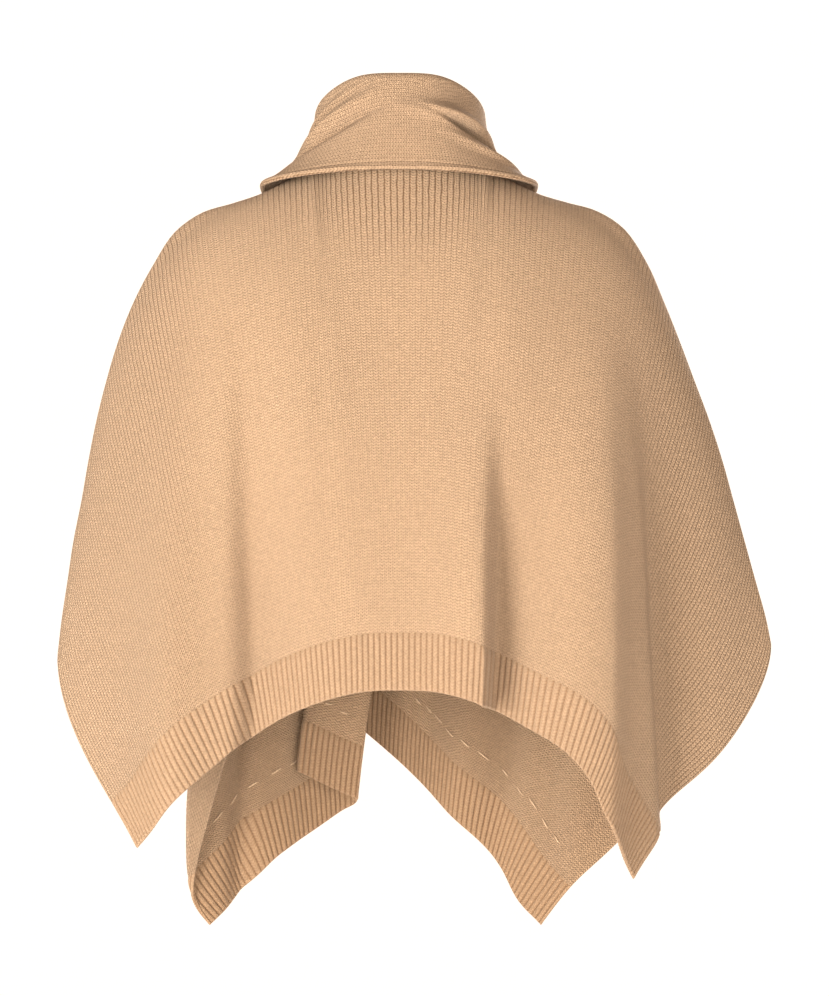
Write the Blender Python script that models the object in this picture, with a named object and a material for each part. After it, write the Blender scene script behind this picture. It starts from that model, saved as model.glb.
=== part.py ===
"""Knitted pull-on poncho with a turned-down collar and ribbed hem bands, in its worn form.

Metres, +Z up.  The front faces -Y, the wearer's left side is at +X.  The origin lies at the
base of the neck, where the wearer carries the garment.

The cloth hangs in wales, the upright columns of knit stitches.  Every wale runs from the
top of a panel (the seam over shoulder and arm, or the neckline) down to the hem, as one
smooth curve.  A panel is all of its wales side by side, and the rib band is the last
stretch of the same wales, so the two meet edge to edge.
"""

import bpy
import numpy as np

MM = 0.001

# ---------------------------------------------------------------- driving dimensions (mm)
PANEL_WALL = 2.6          # thickness of the plain knit
BAND_WALL = 2.6           # thickness of the rib band between its ribs
RIB_RISE = 1.3            # how far a rib stands above the groove beside it
COLLAR_WALL = 3.0         # thickness of the collar knit
SEAM_GAP = 0.3            # space between two pieces at a seam
COLLAR_GAP = 0.6          # space between the collar and the neckline
BAND_DEPTH = 55.0         # depth of the rib bands
BACK_RIBS = 118           # ribs along the back hem
FRONT_RIBS = 60           # ribs along the hem of each front
BAND_ROWS = 1             # rows of faces down a rib band
PANEL_ROWS = 12           # rows of faces down a panel
ROLLED_PANEL_ROWS = 18    # the same for the panel with the rolled side edge
WALE_OVERRUN = 60.0       # how far a wale is drawn on past its ends to find its slope there

NECK_HALF_WIDTH = 85.0    # neckline, half its width
NECK_HALF_DEPTH = 65.0    # neckline, half its depth from back to front
NECK_CENTRE_Y = -10.0     # the neckline's middle lies a little forward
NECK_MEAN_UP = 2.2        # its mean height
NECK_TILT = 38.5          # the back of the neckline is higher, the front lower by this
NECK_SADDLE = 18.7        # the sides are higher than the tilted ring by this
NECK_SIDE_ANGLE = 81.0    # degrees from the centre back to the seam at the side of the neck
LEFT_LAP_ANGLE = 212.0    # degrees round the neck to the free edge of the under lap
RIGHT_LAP_ANGLE = -212.0  # the same for the upper lap, counted the other way
LAP_SINK = 5.0            # how far the under lap lies inside the upper one at the neckline
LAP_SINK_BEGINS = 118.0   # degrees round the neck where the under lap begins to sink
LAP_SINK_ENDS = 148.0     # and where it has sunk fully

# Seam over the shoulder and down the arm, from the top of the side slit to the neck.
# Columns: across, up.
LEFT_SEAM = (
    (343, -465), (339, -430), (333, -390), (327, -350), (319, -310), (312, -270),
    (304, -230), (294, -190), (282, -150), (267, -112), (247, -74), (224, -40),
    (198, -22), (168, -13), (138, -3), (110, 11), (84, 26),
)
RIGHT_SEAM = (
    (-372, -455), (-367, -430), (-356, -390), (-345, -350), (-334, -310), (-323, -270),
    (-310, -230), (-295, -190), (-280, -150), (-264, -110), (-246, -70), (-222, -36),
    (-196, -20), (-167, -12), (-137, -3), (-110, 10), (-84, 26),
)

# Hems before their folds are added: a row for each place along the edge.
# Columns: across, back, up.
BACK_HEM = (
    (253, 75, -648), (232, 92, -627), (211, 103, -601), (184, 110, -573),
    (158, 116, -549), (119, 124, -522), (72, 133, -502), (36, 138, -493),
    (-1, 140, -491), (-41, 141, -493), (-68, 141, -500), (-93, 140, -512),
    (-121, 138, -527), (-150, 134, -545), (-169, 127, -569), (-183, 118, -603),
    (-205, 104, -641), (-227, 82, -678),
)
LEFT_FRONT_HEM = (
    (198, -92, -750), (167, -112, -722), (131, -132, -683), (89, -147, -656),
    (62, -152, -638), (46, -149, -628), (48, -140, -620), (72, -134, -607),
    (95, -128, -597), (104, -119, -594), (95, -111, -598), (72, -108, -609),
    (44, -106, -621),
)
RIGHT_FRONT_HEM = (
    (-147, -95, -750), (-124, -112, -729), (-104, -127, -697), (-78, -140, -665),
    (-52, -150, -639), (1, -165, -588), (41, -170, -554), (75, -171, -526),
    (107, -169, -506),
)

# How the wales run, a row for each measured wale.  "top" is the place along the panel's
# upper edge: 0 to 1 up the first seam, 1 to 2 round the neckline, 2 to 3 down the other
# seam.  "hem" is the share of the hem's length.  A wale leaves its top by "out" away from
# the body and "drop" downwards, and comes into the hem from "lift" above it, leaning
# "aside" across and "tuck" back.
# Columns: top, hem, out, drop, aside, tuck, lift.
BACK_WALES = (
    (0.00, 0.000, 8, 65, 43, -23, 60),
    (0.16, 0.070, 24, 62, 50, -22, 74),
    (0.33, 0.140, 42, 55, 50, -16, 95),
    (0.52, 0.212, 58, 42, 42, -8, 130),
    (0.72, 0.275, 84, 34, 30, 0, 180),
    (0.82, 0.313, 101, 20, 24, 0, 200),
    (1.00, 0.401, 101, 10, 11, 0, 212),
    (1.10, 0.424, 75, 22, 2, 0, 212),
    (1.20, 0.440, 51, 32, 1, 0, 210),
    (1.35, 0.468, 27, 42, 1, 0, 204),
    (1.50, 0.500, 19, 50, 0, 0, 200),
    (1.65, 0.532, 27, 42, -1, 0, 204),
    (1.80, 0.560, 51, 32, -1, 0, 210),
    (1.90, 0.576, 75, 22, -2, 0, 212),
    (2.00, 0.599, 101, 10, -11, 0, 212),
    (2.18, 0.686, 101, 20, -24, 0, 200),
    (2.28, 0.725, 84, 34, -30, 0, 180),
    (2.48, 0.788, 58, 42, -40, -6, 140),
    (2.67, 0.860, 42, 55, -52, -14, 105),
    (2.84, 0.930, 24, 62, -52, -20, 84),
    (3.00, 1.000, 6, 62, -50, -24, 72),
)
LEFT_FRONT_WALES = (
    (0.00, 0.000, 12, 60, 72, 22, 74),
    (0.16, 0.105, 30, 58, 74, 18, 110),
    (0.33, 0.195, 46, 52, 62, 10, 150),
    (0.52, 0.275, 60, 42, 48, 2, 200),
    (0.72, 0.352, 68, 32, 34, 0, 230),
    (0.82, 0.400, 76, 26, 26, 0, 240),
    (1.00, 0.522, 80, 12, 12, 0, 240),
    (1.10, 0.569, 63, 22, 8, 0, 230),
    (1.20, 0.598, 52, 42, 6, 0, 220),
    (1.45, 0.682, 41, 62, -4, 0, 190),
    (2.00, 1.000, 34, 66, -16, 2, 170),
)
RIGHT_FRONT_WALES = (
    (0.00, 0.000, 8, 60, -44, 20, 62),
    (0.16, 0.085, 28, 58, -60, 18, 96),
    (0.33, 0.170, 46, 52, -62, 10, 140),
    (0.52, 0.260, 62, 42, -52, 2, 200),
    (0.72, 0.338, 88, 31, -34, 0, 240),
    (0.82, 0.389, 98, 18, -26, 0, 250),
    (1.00, 0.522, 100, 20, -12, 0, 240),
    (1.10, 0.579, 82, 27, -9, 0, 227),
    (1.20, 0.630, 67, 34, -8, 0, 214),
    (1.45, 0.760, 51, 60, 0, 0, 180),
    (2.00, 1.000, 44, 66, 10, 0, 160),
)

# Folds, a row each: where the fold begins and ends, how wide it is towards the left (+X)
# and the right (-X) of its line, and how far it stands out (+) or sinks in (-).
# Columns: top_x, top_z, foot_x, foot_z, left, right, rise.
BACK_FOLDS = (
    (226, -170, 214, -600, 30, 30, 13),
    (168, -225, 158, -552, 26, 30, -13),
    (-84, -190, -76, -505, 46, 11, 13),
    (-112, -230, -106, -520, 18, 40, -9),
    (-180, -120, -172, -570, 30, 26, 17),
    (-232, -90, -276, -640, 13, 30, -19),
)
LEFT_FRONT_FOLDS = (
    (170, -330, 164, -700, 16, 10, 15),
    (120, -240, 128, -690, 26, 20, -7),
)
RIGHT_FRONT_FOLDS = (
    (-160, -200, -96, -690, 24, 22, 9),
    (-110, -240, -60, -640, 24, 24, -8),
    (-225, -160, -186, -690, 26, 24, -9),
)

# The left front's side edge rolls inwards, a row for each height above the hem.
# Columns: above_hem, turned.
SIDE_ROLL = ((0, 2), (30, 6), (55, 13), (90, 30), (140, 55), (194, 80), (240, 72),
             (290, 32), (345, 0))
ROLL_RADIUS = 9.0

# The collar, a row for each direction round the neck, counted in degrees from the centre
# back towards the wearer's left.  Distances are from the neck's axis, heights from the
# origin: the top fold, the waist of the turned-down layer, and its lower edge.
# Columns: angle, top, top_up, waist, waist_up, edge, edge_up.
COLLAR_SECTIONS = (
    (0, 66, 109, 84, 62, 88, 12),
    (40, 70, 106, 92, 58, 112, 10),
    (70, 76, 92, 100, 50, 139, 6),
    (92, 78, 80, 102, 42, 141, 3),
    (125, 80, 62, 106, 16, 136, -30),
    (155, 80, 44, 102, -12, 130, -68),
    (180, 80, 38, 102, -22, 130, -82),
    (205, 80, 44, 102, -12, 130, -68),
    (235, 80, 62, 104, 16, 134, -30),
    (268, 78, 80, 92, 44, 139, 4),
    (290, 76, 92, 94, 52, 137, 6),
    (320, 70, 106, 91, 58, 110, 10),
)
COLLAR_TOP_ROUND = 8.0    # radius of the fold along the collar's top
STAND_LEAN = 6.0          # the standing layer first leans in towards the neck by this,
STAND_RISE = 24.0         # while it rises by this
TOP_REACH = 34.0          # both layers run straight for about a third of this below the top
FALL_SPRING = 3.0         # the turned-down layer springs outwards by this below the top
WAIST_REACH = 22.0        # and is drawn in this far below its waist
COLLAR_COLUMNS_ROUND = 42
# Creases of the turned-down layer: direction, place down it (0 top, 1 edge), slope of the
# crease as it runs round, its two half widths and how far it rises.
# Columns: angle, place, slope, round, down, rise.
COLLAR_CREASES = (
    (-58, 0.42, -0.0030, 34, 0.20, 7),
    (-66, 0.72, -0.0030, 30, 0.16, -4),
    (50, 0.40, 0.0040, 28, 0.22, 4),
)

CAMEL = (0.56, 0.36, 0.19)
CAMEL_RIB = (0.54, 0.34, 0.175)
CAMEL_COLLAR = (0.57, 0.37, 0.20)


# ---------------------------------------------------------------- small helpers
def unit(vectors):
    """Vectors shortened or stretched to length one."""
    return vectors / np.linalg.norm(vectors, axis=-1, keepdims=True)


def smooth(at, knots, values):
    """A smooth curve through table rows: cubic pieces with the rows' own slopes."""
    knots = np.asarray(knots, float)
    values = np.asarray(values, float)
    slopes = np.gradient(values, knots, axis=0)
    at = np.asarray(at, float)
    piece = np.clip(np.searchsorted(knots, at, side="right") - 1, 0, len(knots) - 2)
    span = knots[piece + 1] - knots[piece]
    f = (at - knots[piece]) / span
    if values.ndim > 1:
        f = f[..., None]
        span = span[..., None]
    return ((1 + 2 * f) * (1 - f) ** 2 * values[piece] + f * (1 - f) ** 2 * span * slopes[piece]
            + f * f * (3 - 2 * f) * values[piece + 1] - f * f * (1 - f) * span * slopes[piece + 1])


def chord_lengths(points):
    """Distance along a row of points, starting at zero."""
    steps = np.linalg.norm(np.diff(points, axis=0), axis=-1)
    return np.concatenate([[0.0], np.cumsum(steps)])


def ramp(value, start, end):
    """0 before start, 1 after end, and a soft step between them."""
    f = np.clip((value - start) / (end - start), 0.0, 1.0)
    return f * f * (3 - 2 * f)


def neckline(angle):
    """Points of the neckline; angle in degrees from the centre back to the wearer's left."""
    a = np.radians(angle)
    return np.stack([
        NECK_HALF_WIDTH * np.sin(a),
        NECK_CENTRE_Y + NECK_HALF_DEPTH * np.cos(a),
        NECK_MEAN_UP + NECK_TILT * np.cos(a) - NECK_SADDLE * np.cos(2 * a),
    ], axis=-1)


def neck_facing(angle):
    """Direction in which the cloth faces at the neckline: half outwards, half up."""
    a = np.radians(angle)
    outwards = np.stack([np.sin(a), np.cos(a), np.zeros_like(a)], axis=-1)
    along = unit(neckline(angle + 0.5) - neckline(angle - 0.5))
    facing = outwards + np.array([0.0, 0.0, 1.0])
    facing -= along * np.sum(facing * along, axis=-1, keepdims=True)
    return unit(facing)


def seam(rows, share):
    """Points of a shoulder and arm seam, by the share of its length from the slit."""
    points = np.array([(across, 0.0, up) for across, up in rows], float)
    lengths = chord_lengths(points)
    return smooth(np.asarray(share) * lengths[-1], lengths, points)


# ---------------------------------------------------------------- panels of hanging cloth
class Panel:
    """One knitted panel with its rib band, as a sheet of wales."""

    def __init__(self, side, first_seam, neck_angles, hem, wales, folds,
                 neck_columns, second_seam=None, sink=0.0, roll=None):
        self.side = side                  # +1 for the back, -1 for a front
        self.first_seam = first_seam
        self.second_seam = second_seam
        self.neck_angles = neck_angles
        self.neck_columns = neck_columns
        self.hem_rows = np.array(hem, float)
        self.hem_at = chord_lengths(self.hem_rows)
        self.wales = np.array(wales, float)
        self.folds = folds
        self.sink = sink
        self.roll = roll
        self.rows = PANEL_ROWS if roll is None else ROLLED_PANEL_ROWS
        self.length = self.hem_at[-1]
        # Columns run to the wearer's right on the back and on the left front.
        self.turn = 1.0 if neck_angles[0] > neck_angles[1] else -1.0

    def in_order(self, grid):
        """The grid with its columns in the order in which its faces point outwards."""
        return grid if self.turn > 0 else grid[:, ::-1]

    def top(self, place):
        """Points of the upper edge."""
        place = np.asarray(place, float)
        points = seam(self.first_seam, np.clip(place, 0, 1))
        start, end = self.neck_angles
        angle = start + (end - start) * np.clip(place - 1, 0, 1)
        neck = neckline(angle)
        if self.sink:
            inner = ramp(np.abs(angle), LAP_SINK_BEGINS, LAP_SINK_ENDS)[..., None] * self.sink
            neck = neck - inner * neck_facing(angle)
        points = np.where((place > 1)[..., None], neck, points)
        if self.second_seam is not None:
            last = seam(self.second_seam, np.clip(3 - place, 0, 1))
            points = np.where((place > 2)[..., None], last, points)
        return points

    def place_of_hem(self, hem_share):
        """Place on the upper edge of the wale that meets the hem at this share."""
        dense = np.linspace(self.wales[0, 0], self.wales[-1, 0], 601)
        return np.interp(hem_share, smooth(dense, self.wales[:, 0], self.wales[:, 1]), dense)

    def hem_of_place(self, place):
        """Share of the hem's length met by the wale from this place of the upper edge."""
        return smooth(place, self.wales[:, 0], self.wales[:, 1])

    def wale_points(self, hem_share, steps=49):
        """Whole wales from top to hem: a Bezier curve with two inner points each."""
        place = self.place_of_hem(hem_share)
        shape = smooth(hem_share, self.wales[:, 1], self.wales[:, 2:])
        out, drop, aside, tuck, lift = np.moveaxis(shape, -1, 0)
        first = self.top(place)
        last = smooth(hem_share * self.length, self.hem_at, self.hem_rows)
        second = first + np.stack([0 * out, self.side * out, -drop], axis=-1)
        third = last + np.stack([aside, tuck, lift], axis=-1)
        t = np.linspace(0, 1, steps)[:, None, None]
        return ((1 - t) ** 3 * first + 3 * t * (1 - t) ** 2 * second
                + 3 * t * t * (1 - t) * third + t ** 3 * last)

    def plain(self, hem_share, above):
        """The sheet before folds: points at a distance above the hem, along the wales.

        above is an array of rows by columns.  Past its ends a wale goes straight on.
        """
        points = self.wale_points(hem_share)[::-1]
        below = points[0] + unit(points[0] - points[1]) * WALE_OVERRUN
        beyond = points[-1] + unit(points[-1] - points[-2]) * WALE_OVERRUN
        points = np.concatenate([below[None], points, beyond[None]])
        steps = np.linalg.norm(np.diff(points, axis=0), axis=-1)
        at = np.concatenate([np.zeros((1, steps.shape[1])), np.cumsum(steps, axis=0)])
        at -= WALE_OVERRUN
        rows, columns = above.shape
        found = np.empty((rows, columns, 3))
        for column in range(columns):
            for axis in range(3):
                found[:, column, axis] = np.interp(above[:, column], at[:, column],
                                                   points[:, column, axis])
        return found

    def wale_lengths(self, hem_share):
        """Length of each wale from top to hem."""
        points = self.wale_points(hem_share)
        return np.linalg.norm(np.diff(points, axis=0), axis=-1).sum(axis=0)

    def facing(self, hem_share, above):
        """Outward direction of the plain sheet, from small steps both ways."""
        step = 0.5 / self.length
        across = (self.plain(np.clip(hem_share + step, 0, 1), above)
                  - self.plain(np.clip(hem_share - step, 0, 1), above))
        upwards = self.plain(hem_share, above + 1.0) - self.plain(hem_share, above - 1.0)
        return unit(np.cross(across, upwards)) * self.turn

    def fold_rise(self, points):
        """How far the folds lift or sink the cloth at these points."""
        rise = np.zeros(points.shape[:-1])
        x = points[..., 0]
        z = points[..., 2]
        for top_x, top_z, foot_x, foot_z, left, right, height in self.folds:
            down = (top_z - z) / (top_z - foot_z)
            line = top_x + (foot_x - top_x) * np.clip(down, 0, 1.3)
            offset = x - line
            width = np.where(offset > 0, left, right)
            rise += height * ramp(down, 0.0, 0.75) * np.exp(-(offset / width) ** 2)
        return rise

    def folded(self, hem_share, above):
        """Points of the sheet with its folds, and its rolled side edge if it has one."""
        plain = self.plain(hem_share, above)
        points = plain + self.facing(hem_share, above) * self.fold_rise(plain)[..., None]
        if self.roll is None:
            return points
        turned = smooth(np.clip(above, 0, self.roll[-1][0]),
                        [row[0] for row in self.roll], [row[1] for row in self.roll])
        turned = np.clip(turned, 0, None)
        beyond = turned - hem_share[None, :] * self.length
        rolled = np.empty_like(points)
        for row in range(points.shape[0]):
            share = turned[row] / self.length
            height = np.minimum(above[row], self.roll[-1][0])[None, :]
            line = self.plain(share, height)
            step = 2.0 / self.length
            inner = self.plain(share + step, height)
            normal = self.facing(share, height)[0]
            line = line[0] + normal * self.fold_rise(line[0])[:, None]
            edgeward = unit(line - inner[0] - normal * self.fold_rise(inner[0])[:, None])
            angle = np.clip(beyond[row] / ROLL_RADIUS, 0, np.pi)[:, None]
            flat = np.clip(beyond[row] - np.pi * ROLL_RADIUS, 0, None)[:, None]
            rolled[row] = (line + edgeward * (ROLL_RADIUS * np.sin(angle) - flat)
                           - normal * ROLL_RADIUS * (1 - np.cos(angle)))
        return np.where((beyond > 0)[..., None], rolled, points)

    def outer_and_facing(self, hem_share, above):
        """Final outer points, and the outward direction of the folded cloth there."""
        outer = self.folded(hem_share, above)
        step = 0.6 / self.length
        across = (self.folded(np.clip(hem_share + step, 0, 1), above)
                  - self.folded(np.clip(hem_share - step, 0, 1), above))
        upwards = self.folded(hem_share, above + 1.0) - self.folded(hem_share, above - 1.0)
        return outer, unit(np.cross(across, upwards)) * self.turn

    def band_top_facing(self, hem_share):
        """Outward direction along the line where the rib band meets the plain knit."""
        return self.outer_and_facing(hem_share, np.full((1, hem_share.size), BAND_DEPTH))[1][0]


def seam_facing(rows, share):
    """Direction in which the cloth faces on the seam: square to it, away from the body."""
    ahead = seam(rows, np.clip(share + 0.01, 0, 1))
    behind = seam(rows, np.clip(share - 0.01, 0, 1))
    along = unit(ahead - behind)
    facing = np.cross(along, np.array([0.0, 1.0, 0.0]))
    return facing * np.where(facing[..., 2:3] < 0, -1.0, 1.0)


# ---------------------------------------------------------------- solids
def new_material(name, colour, roughness):
    """A plain matt wool colour."""
    material = bpy.data.materials.new(name)
    material.use_nodes = True
    shader = material.node_tree.nodes["Principled BSDF"]
    shader.inputs["Base Color"].default_value = (*colour, 1.0)
    shader.inputs["Roughness"].default_value = roughness
    shader.inputs["Metallic"].default_value = 0.0
    return material


def wall_solid(name, outer, inner, material, collection, ring=False):
    """A closed wall between two grids of points, rows by columns, in millimetres."""
    rows, columns = outer.shape[:2]
    vertices = np.concatenate([outer.reshape(-1, 3), inner.reshape(-1, 3)]) * MM
    number = np.arange(rows * columns).reshape(rows, columns)
    if ring:
        number = np.concatenate([number, number[:, :1]], axis=1)
    back = number + rows * columns
    faces = []
    for r in range(rows - 1):
        for c in range(number.shape[1] - 1):
            faces.append((number[r, c], number[r, c + 1], number[r + 1, c + 1], number[r + 1, c]))
            faces.append((back[r, c], back[r + 1, c], back[r + 1, c + 1], back[r, c + 1]))
    for c in range(number.shape[1] - 1):
        faces.append((number[0, c + 1], number[0, c], back[0, c], back[0, c + 1]))
        faces.append((number[-1, c], number[-1, c + 1], back[-1, c + 1], back[-1, c]))
    if not ring:
        for r in range(rows - 1):
            faces.append((number[r, 0], number[r + 1, 0], back[r + 1, 0], back[r, 0]))
            faces.append((number[r + 1, -1], number[r, -1], back[r, -1], back[r + 1, -1]))
    mesh = bpy.data.meshes.new(name)
    mesh.from_pydata(vertices.tolist(), [], [[int(v) for v in face] for face in faces])
    mesh.update()
    mesh.materials.append(material)
    mesh.shade_smooth()
    piece = bpy.data.objects.new(name, mesh)
    collection.objects.link(piece)
    return piece


def seam_places(near_slit):
    """Places of the columns along a seam, closer together near the slit."""
    return np.concatenate([np.linspace(0, 0.34, near_slit + 1)[:-1],
                           np.linspace(0.34, 1.0, 15)])


def panel_places(panel):
    """Places of all of a panel's columns along its upper edge."""
    lower = seam_places(8 if panel.roll is None else 14)
    around_neck = np.linspace(1, 2, panel.neck_columns + 1)[1:]
    if panel.second_seam is None:
        return np.concatenate([lower, around_neck])
    return np.concatenate([lower, around_neck[:-1], 3 - lower[::-1]])


def panel_shares(panel):
    """Share of the hem's length at each of a panel's columns."""
    share = panel.hem_of_place(panel_places(panel))
    share[0] = 0.0
    share[-1] = 1.0
    return share


def make_panel(name, panel, material, collection):
    """The plain knit of a panel, from its rib band up to the seam and the neckline."""
    place = panel_places(panel)
    share = panel_shares(panel)
    lengths = panel.wale_lengths(share)
    low = BAND_DEPTH + SEAM_GAP / 2
    steps = np.linspace(0, 1, panel.rows + 1)[:, None]
    above = low + steps * (lengths[None, :] - low)
    outer, facing = panel.outer_and_facing(share, above)
    outer[-1] = panel.top(place)
    on_first = place <= 1
    facing[-1, on_first] = seam_facing(panel.first_seam, place[on_first])
    outer[-1, on_first] += np.array([0.0, panel.side * SEAM_GAP / 2, 0.0])
    start, end = panel.neck_angles
    on_neck = (place >= 1) & (place <= 2)
    angle = start + (end - start) * (place[on_neck] - 1)
    outer[-1, on_neck] += outwards_and_down(angle) * COLLAR_GAP / 2
    facing[-1, on_neck] = neck_facing(angle)
    if panel.second_seam is not None:
        on_second = place > 2
        facing[-1, on_second] = seam_facing(panel.second_seam, 3 - place[on_second])
        outer[-1, on_second] += np.array([0.0, panel.side * SEAM_GAP / 2, 0.0])
    facing[0] = panel.band_top_facing(share)
    inner = outer - facing * PANEL_WALL
    return wall_solid(name, panel.in_order(outer), panel.in_order(inner), material, collection)


def outwards_and_down(angle):
    """Direction from the collar's lower edge to the panel, along the cloth."""
    along = unit(neckline(angle + 0.5) - neckline(angle - 0.5))
    across = np.cross(along, neck_facing(angle))
    return across * np.where(across[..., 2:3] > 0, -1.0, 1.0)


def make_band(name, panel, ribs, material, collection):
    """The rib band: ribs raised in its outer face, over a plain inside.

    Between two of the panel's columns the band is straight, as the panel's edge is, so the
    two edges stay the same distance apart.
    """
    share = panel_shares(panel)
    steps = np.linspace(0, 1, BAND_ROWS + 1)[:, None]
    above = steps * (BAND_DEPTH - SEAM_GAP / 2) + 0 * share[None, :]
    middle, facing = panel.outer_and_facing(share, above)
    facing[-1] = panel.band_top_facing(share)
    ribs_before = np.round(share * ribs).astype(int)
    at = np.interp(np.arange(2 * ribs + 1) / 2, ribs_before, np.arange(share.size))
    column = np.minimum(at.astype(int), share.size - 2)
    part = (at - column)[None, :, None]
    middle = middle[:, column] * (1 - part) + middle[:, column + 1] * part
    facing = facing[:, column] * (1 - part) + facing[:, column + 1] * part
    crest = np.where(np.arange(at.size) % 2 == 1, RIB_RISE, 0.0)[None, :, None]
    outer = middle + facing * (crest - RIB_RISE / 2)
    inner = middle - facing * BAND_WALL
    return wall_solid(name, panel.in_order(outer), panel.in_order(inner), material, collection)


def collar_measures(angle):
    """The six measures of the collar's section in each direction round the neck."""
    rows = np.array(COLLAR_SECTIONS, float)
    full_turn = [360, 0, 0, 0, 0, 0, 0]
    repeated = np.concatenate([rows - full_turn, rows, rows + full_turn])
    return smooth(angle, repeated[:, 0], repeated[:, 1:]).T


def bezier(start, first_handle, second_handle, end, t):
    """Cubic Bezier curve between two values, for all steps t at once."""
    return ((1 - t) ** 3 * start + 3 * t * (1 - t) ** 2 * first_handle
            + 3 * t * t * (1 - t) * second_handle + t ** 3 * end)


def make_collar(material, collection):
    """The collar: one tube that stands up from the neckline and is turned down outside."""
    angle = np.arange(COLLAR_COLUMNS_ROUND) * 360.0 / COLLAR_COLUMNS_ROUND
    top, top_up, waist, waist_up, edge, edge_up = collar_measures(angle)
    a = np.radians(angle)
    outwards = np.stack([np.sin(a), np.cos(a)], axis=-1)
    neck = neckline(angle) - outwards_and_down(angle) * COLLAR_GAP / 2
    centre = np.array([0.0, NECK_CENTRE_Y])
    neck_out = np.sum((neck[:, :2] - centre) * outwards, axis=-1)

    stand_t = np.linspace(0, 1, 4)[:-1, None]
    inner_top = top - COLLAR_TOP_ROUND
    round_foot = top_up - COLLAR_TOP_ROUND
    stand_out = bezier(neck_out, neck_out - STAND_LEAN, inner_top, inner_top, stand_t)
    stand_up = bezier(neck[:, 2], neck[:, 2] + STAND_RISE, top_up - TOP_REACH, round_foot, stand_t)
    turn = np.radians(np.linspace(0, 180, 5))[:, None]
    round_out = top - COLLAR_TOP_ROUND * np.cos(turn)
    round_up = round_foot + COLLAR_TOP_ROUND * np.sin(turn)
    fall_t = np.linspace(0, 1, 8)[1:, None]
    outer_top = top + COLLAR_TOP_ROUND
    fall_out = bezier(outer_top, outer_top + FALL_SPRING, waist, edge, fall_t)
    fall_up = bezier(round_foot, top_up - TOP_REACH, waist_up - WAIST_REACH, edge_up, fall_t)
    for at, place, slope, around, down, rise in COLLAR_CREASES:
        off = (angle - at + 180) % 360 - 180
        line = place + slope * off
        bump = np.exp(-(off / around) ** 2 - ((fall_t - line) / down) ** 2)
        fall_out = fall_out + rise * bump
    distance = np.concatenate([stand_out, round_out, fall_out])
    height = np.concatenate([stand_up, round_up, fall_up])
    points = np.concatenate([
        centre + distance[..., None] * outwards, height[..., None]], axis=-1)
    points[0] = neck - neck_facing(angle) * COLLAR_WALL
    around_next = np.roll(points, -1, axis=1) - np.roll(points, 1, axis=1)
    along = np.gradient(points, axis=0)
    facing = unit(np.cross(around_next, along))
    facing[0] = -neck_facing(angle)
    inner = points - facing * COLLAR_WALL
    return wall_solid("collar", points, inner, material, collection, ring=True)


# ---------------------------------------------------------------- the poncho
def build():
    """Clear the scene, cut the three panels and make their seven solids."""
    for old in list(bpy.data.objects):
        bpy.data.objects.remove(old, do_unlink=True)
    collection = bpy.data.collections.new("poncho")
    bpy.context.scene.collection.children.link(collection)
    knit = new_material("camel_knit", CAMEL, 0.92)
    rib = new_material("camel_rib", CAMEL_RIB, 0.92)
    collar = new_material("camel_collar", CAMEL_COLLAR, 0.92)

    back = Panel(1, LEFT_SEAM, (NECK_SIDE_ANGLE, -NECK_SIDE_ANGLE), BACK_HEM, BACK_WALES,
                 BACK_FOLDS, 16, second_seam=RIGHT_SEAM)
    left_front = Panel(-1, LEFT_SEAM, (NECK_SIDE_ANGLE, LEFT_LAP_ANGLE), LEFT_FRONT_HEM,
                       LEFT_FRONT_WALES, LEFT_FRONT_FOLDS, 22, sink=LAP_SINK,
                       roll=SIDE_ROLL)
    right_front = Panel(-1, RIGHT_SEAM, (-NECK_SIDE_ANGLE, RIGHT_LAP_ANGLE),
                        RIGHT_FRONT_HEM, RIGHT_FRONT_WALES, RIGHT_FRONT_FOLDS, 14)

    make_panel("back_panel", back, knit, collection)
    make_panel("left_front_panel", left_front, knit, collection)
    make_panel("right_front_panel", right_front, knit, collection)
    make_band("back_rib_band", back, BACK_RIBS, rib, collection)
    make_band("left_front_rib_band", left_front, FRONT_RIBS, rib, collection)
    make_band("right_front_rib_band", right_front, FRONT_RIBS, rib, collection)
    make_collar(collar, collection)


build()
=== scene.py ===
# %% [markdown]
# # A knitted poncho, hung in its worn form
# The real thing is chunky wool, knitted to shape in a few pieces: a back, two fronts that lap
# over each other, a rib band along each hem, and a tube collar that is turned down over
# itself.  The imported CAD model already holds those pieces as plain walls.  This script lays a
# finer cloth over each of them.  Everything is worked out in millimetres and handed to
# Blender in metres.

import bpy
import numpy as np
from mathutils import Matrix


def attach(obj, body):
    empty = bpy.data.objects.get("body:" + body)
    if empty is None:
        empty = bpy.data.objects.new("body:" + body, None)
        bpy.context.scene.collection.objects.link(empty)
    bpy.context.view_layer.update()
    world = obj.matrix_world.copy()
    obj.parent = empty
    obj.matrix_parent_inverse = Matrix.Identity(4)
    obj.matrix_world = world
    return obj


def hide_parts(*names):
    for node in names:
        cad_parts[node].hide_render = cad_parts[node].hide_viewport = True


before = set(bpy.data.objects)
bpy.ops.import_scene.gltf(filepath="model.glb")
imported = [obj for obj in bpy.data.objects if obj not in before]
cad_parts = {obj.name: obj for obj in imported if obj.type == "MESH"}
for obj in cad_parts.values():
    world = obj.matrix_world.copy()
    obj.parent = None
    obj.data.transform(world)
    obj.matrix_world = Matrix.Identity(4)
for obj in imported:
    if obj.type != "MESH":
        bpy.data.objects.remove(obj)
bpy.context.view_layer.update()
MM = 0.001
print("pieces in the CAD model:", ", ".join(sorted(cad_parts)))

# %% [markdown]
# ## Camera
# The photograph was taken with a long lens from behind the garment, level with the middle of
# it.  A 100 mm lens 2.77 m away gives the same frame, one millimetre to a pixel at the seams.
# The camera stands on the +Y side and looks along -Y, so the garment's left, which is +X, is on
# the left.

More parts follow.
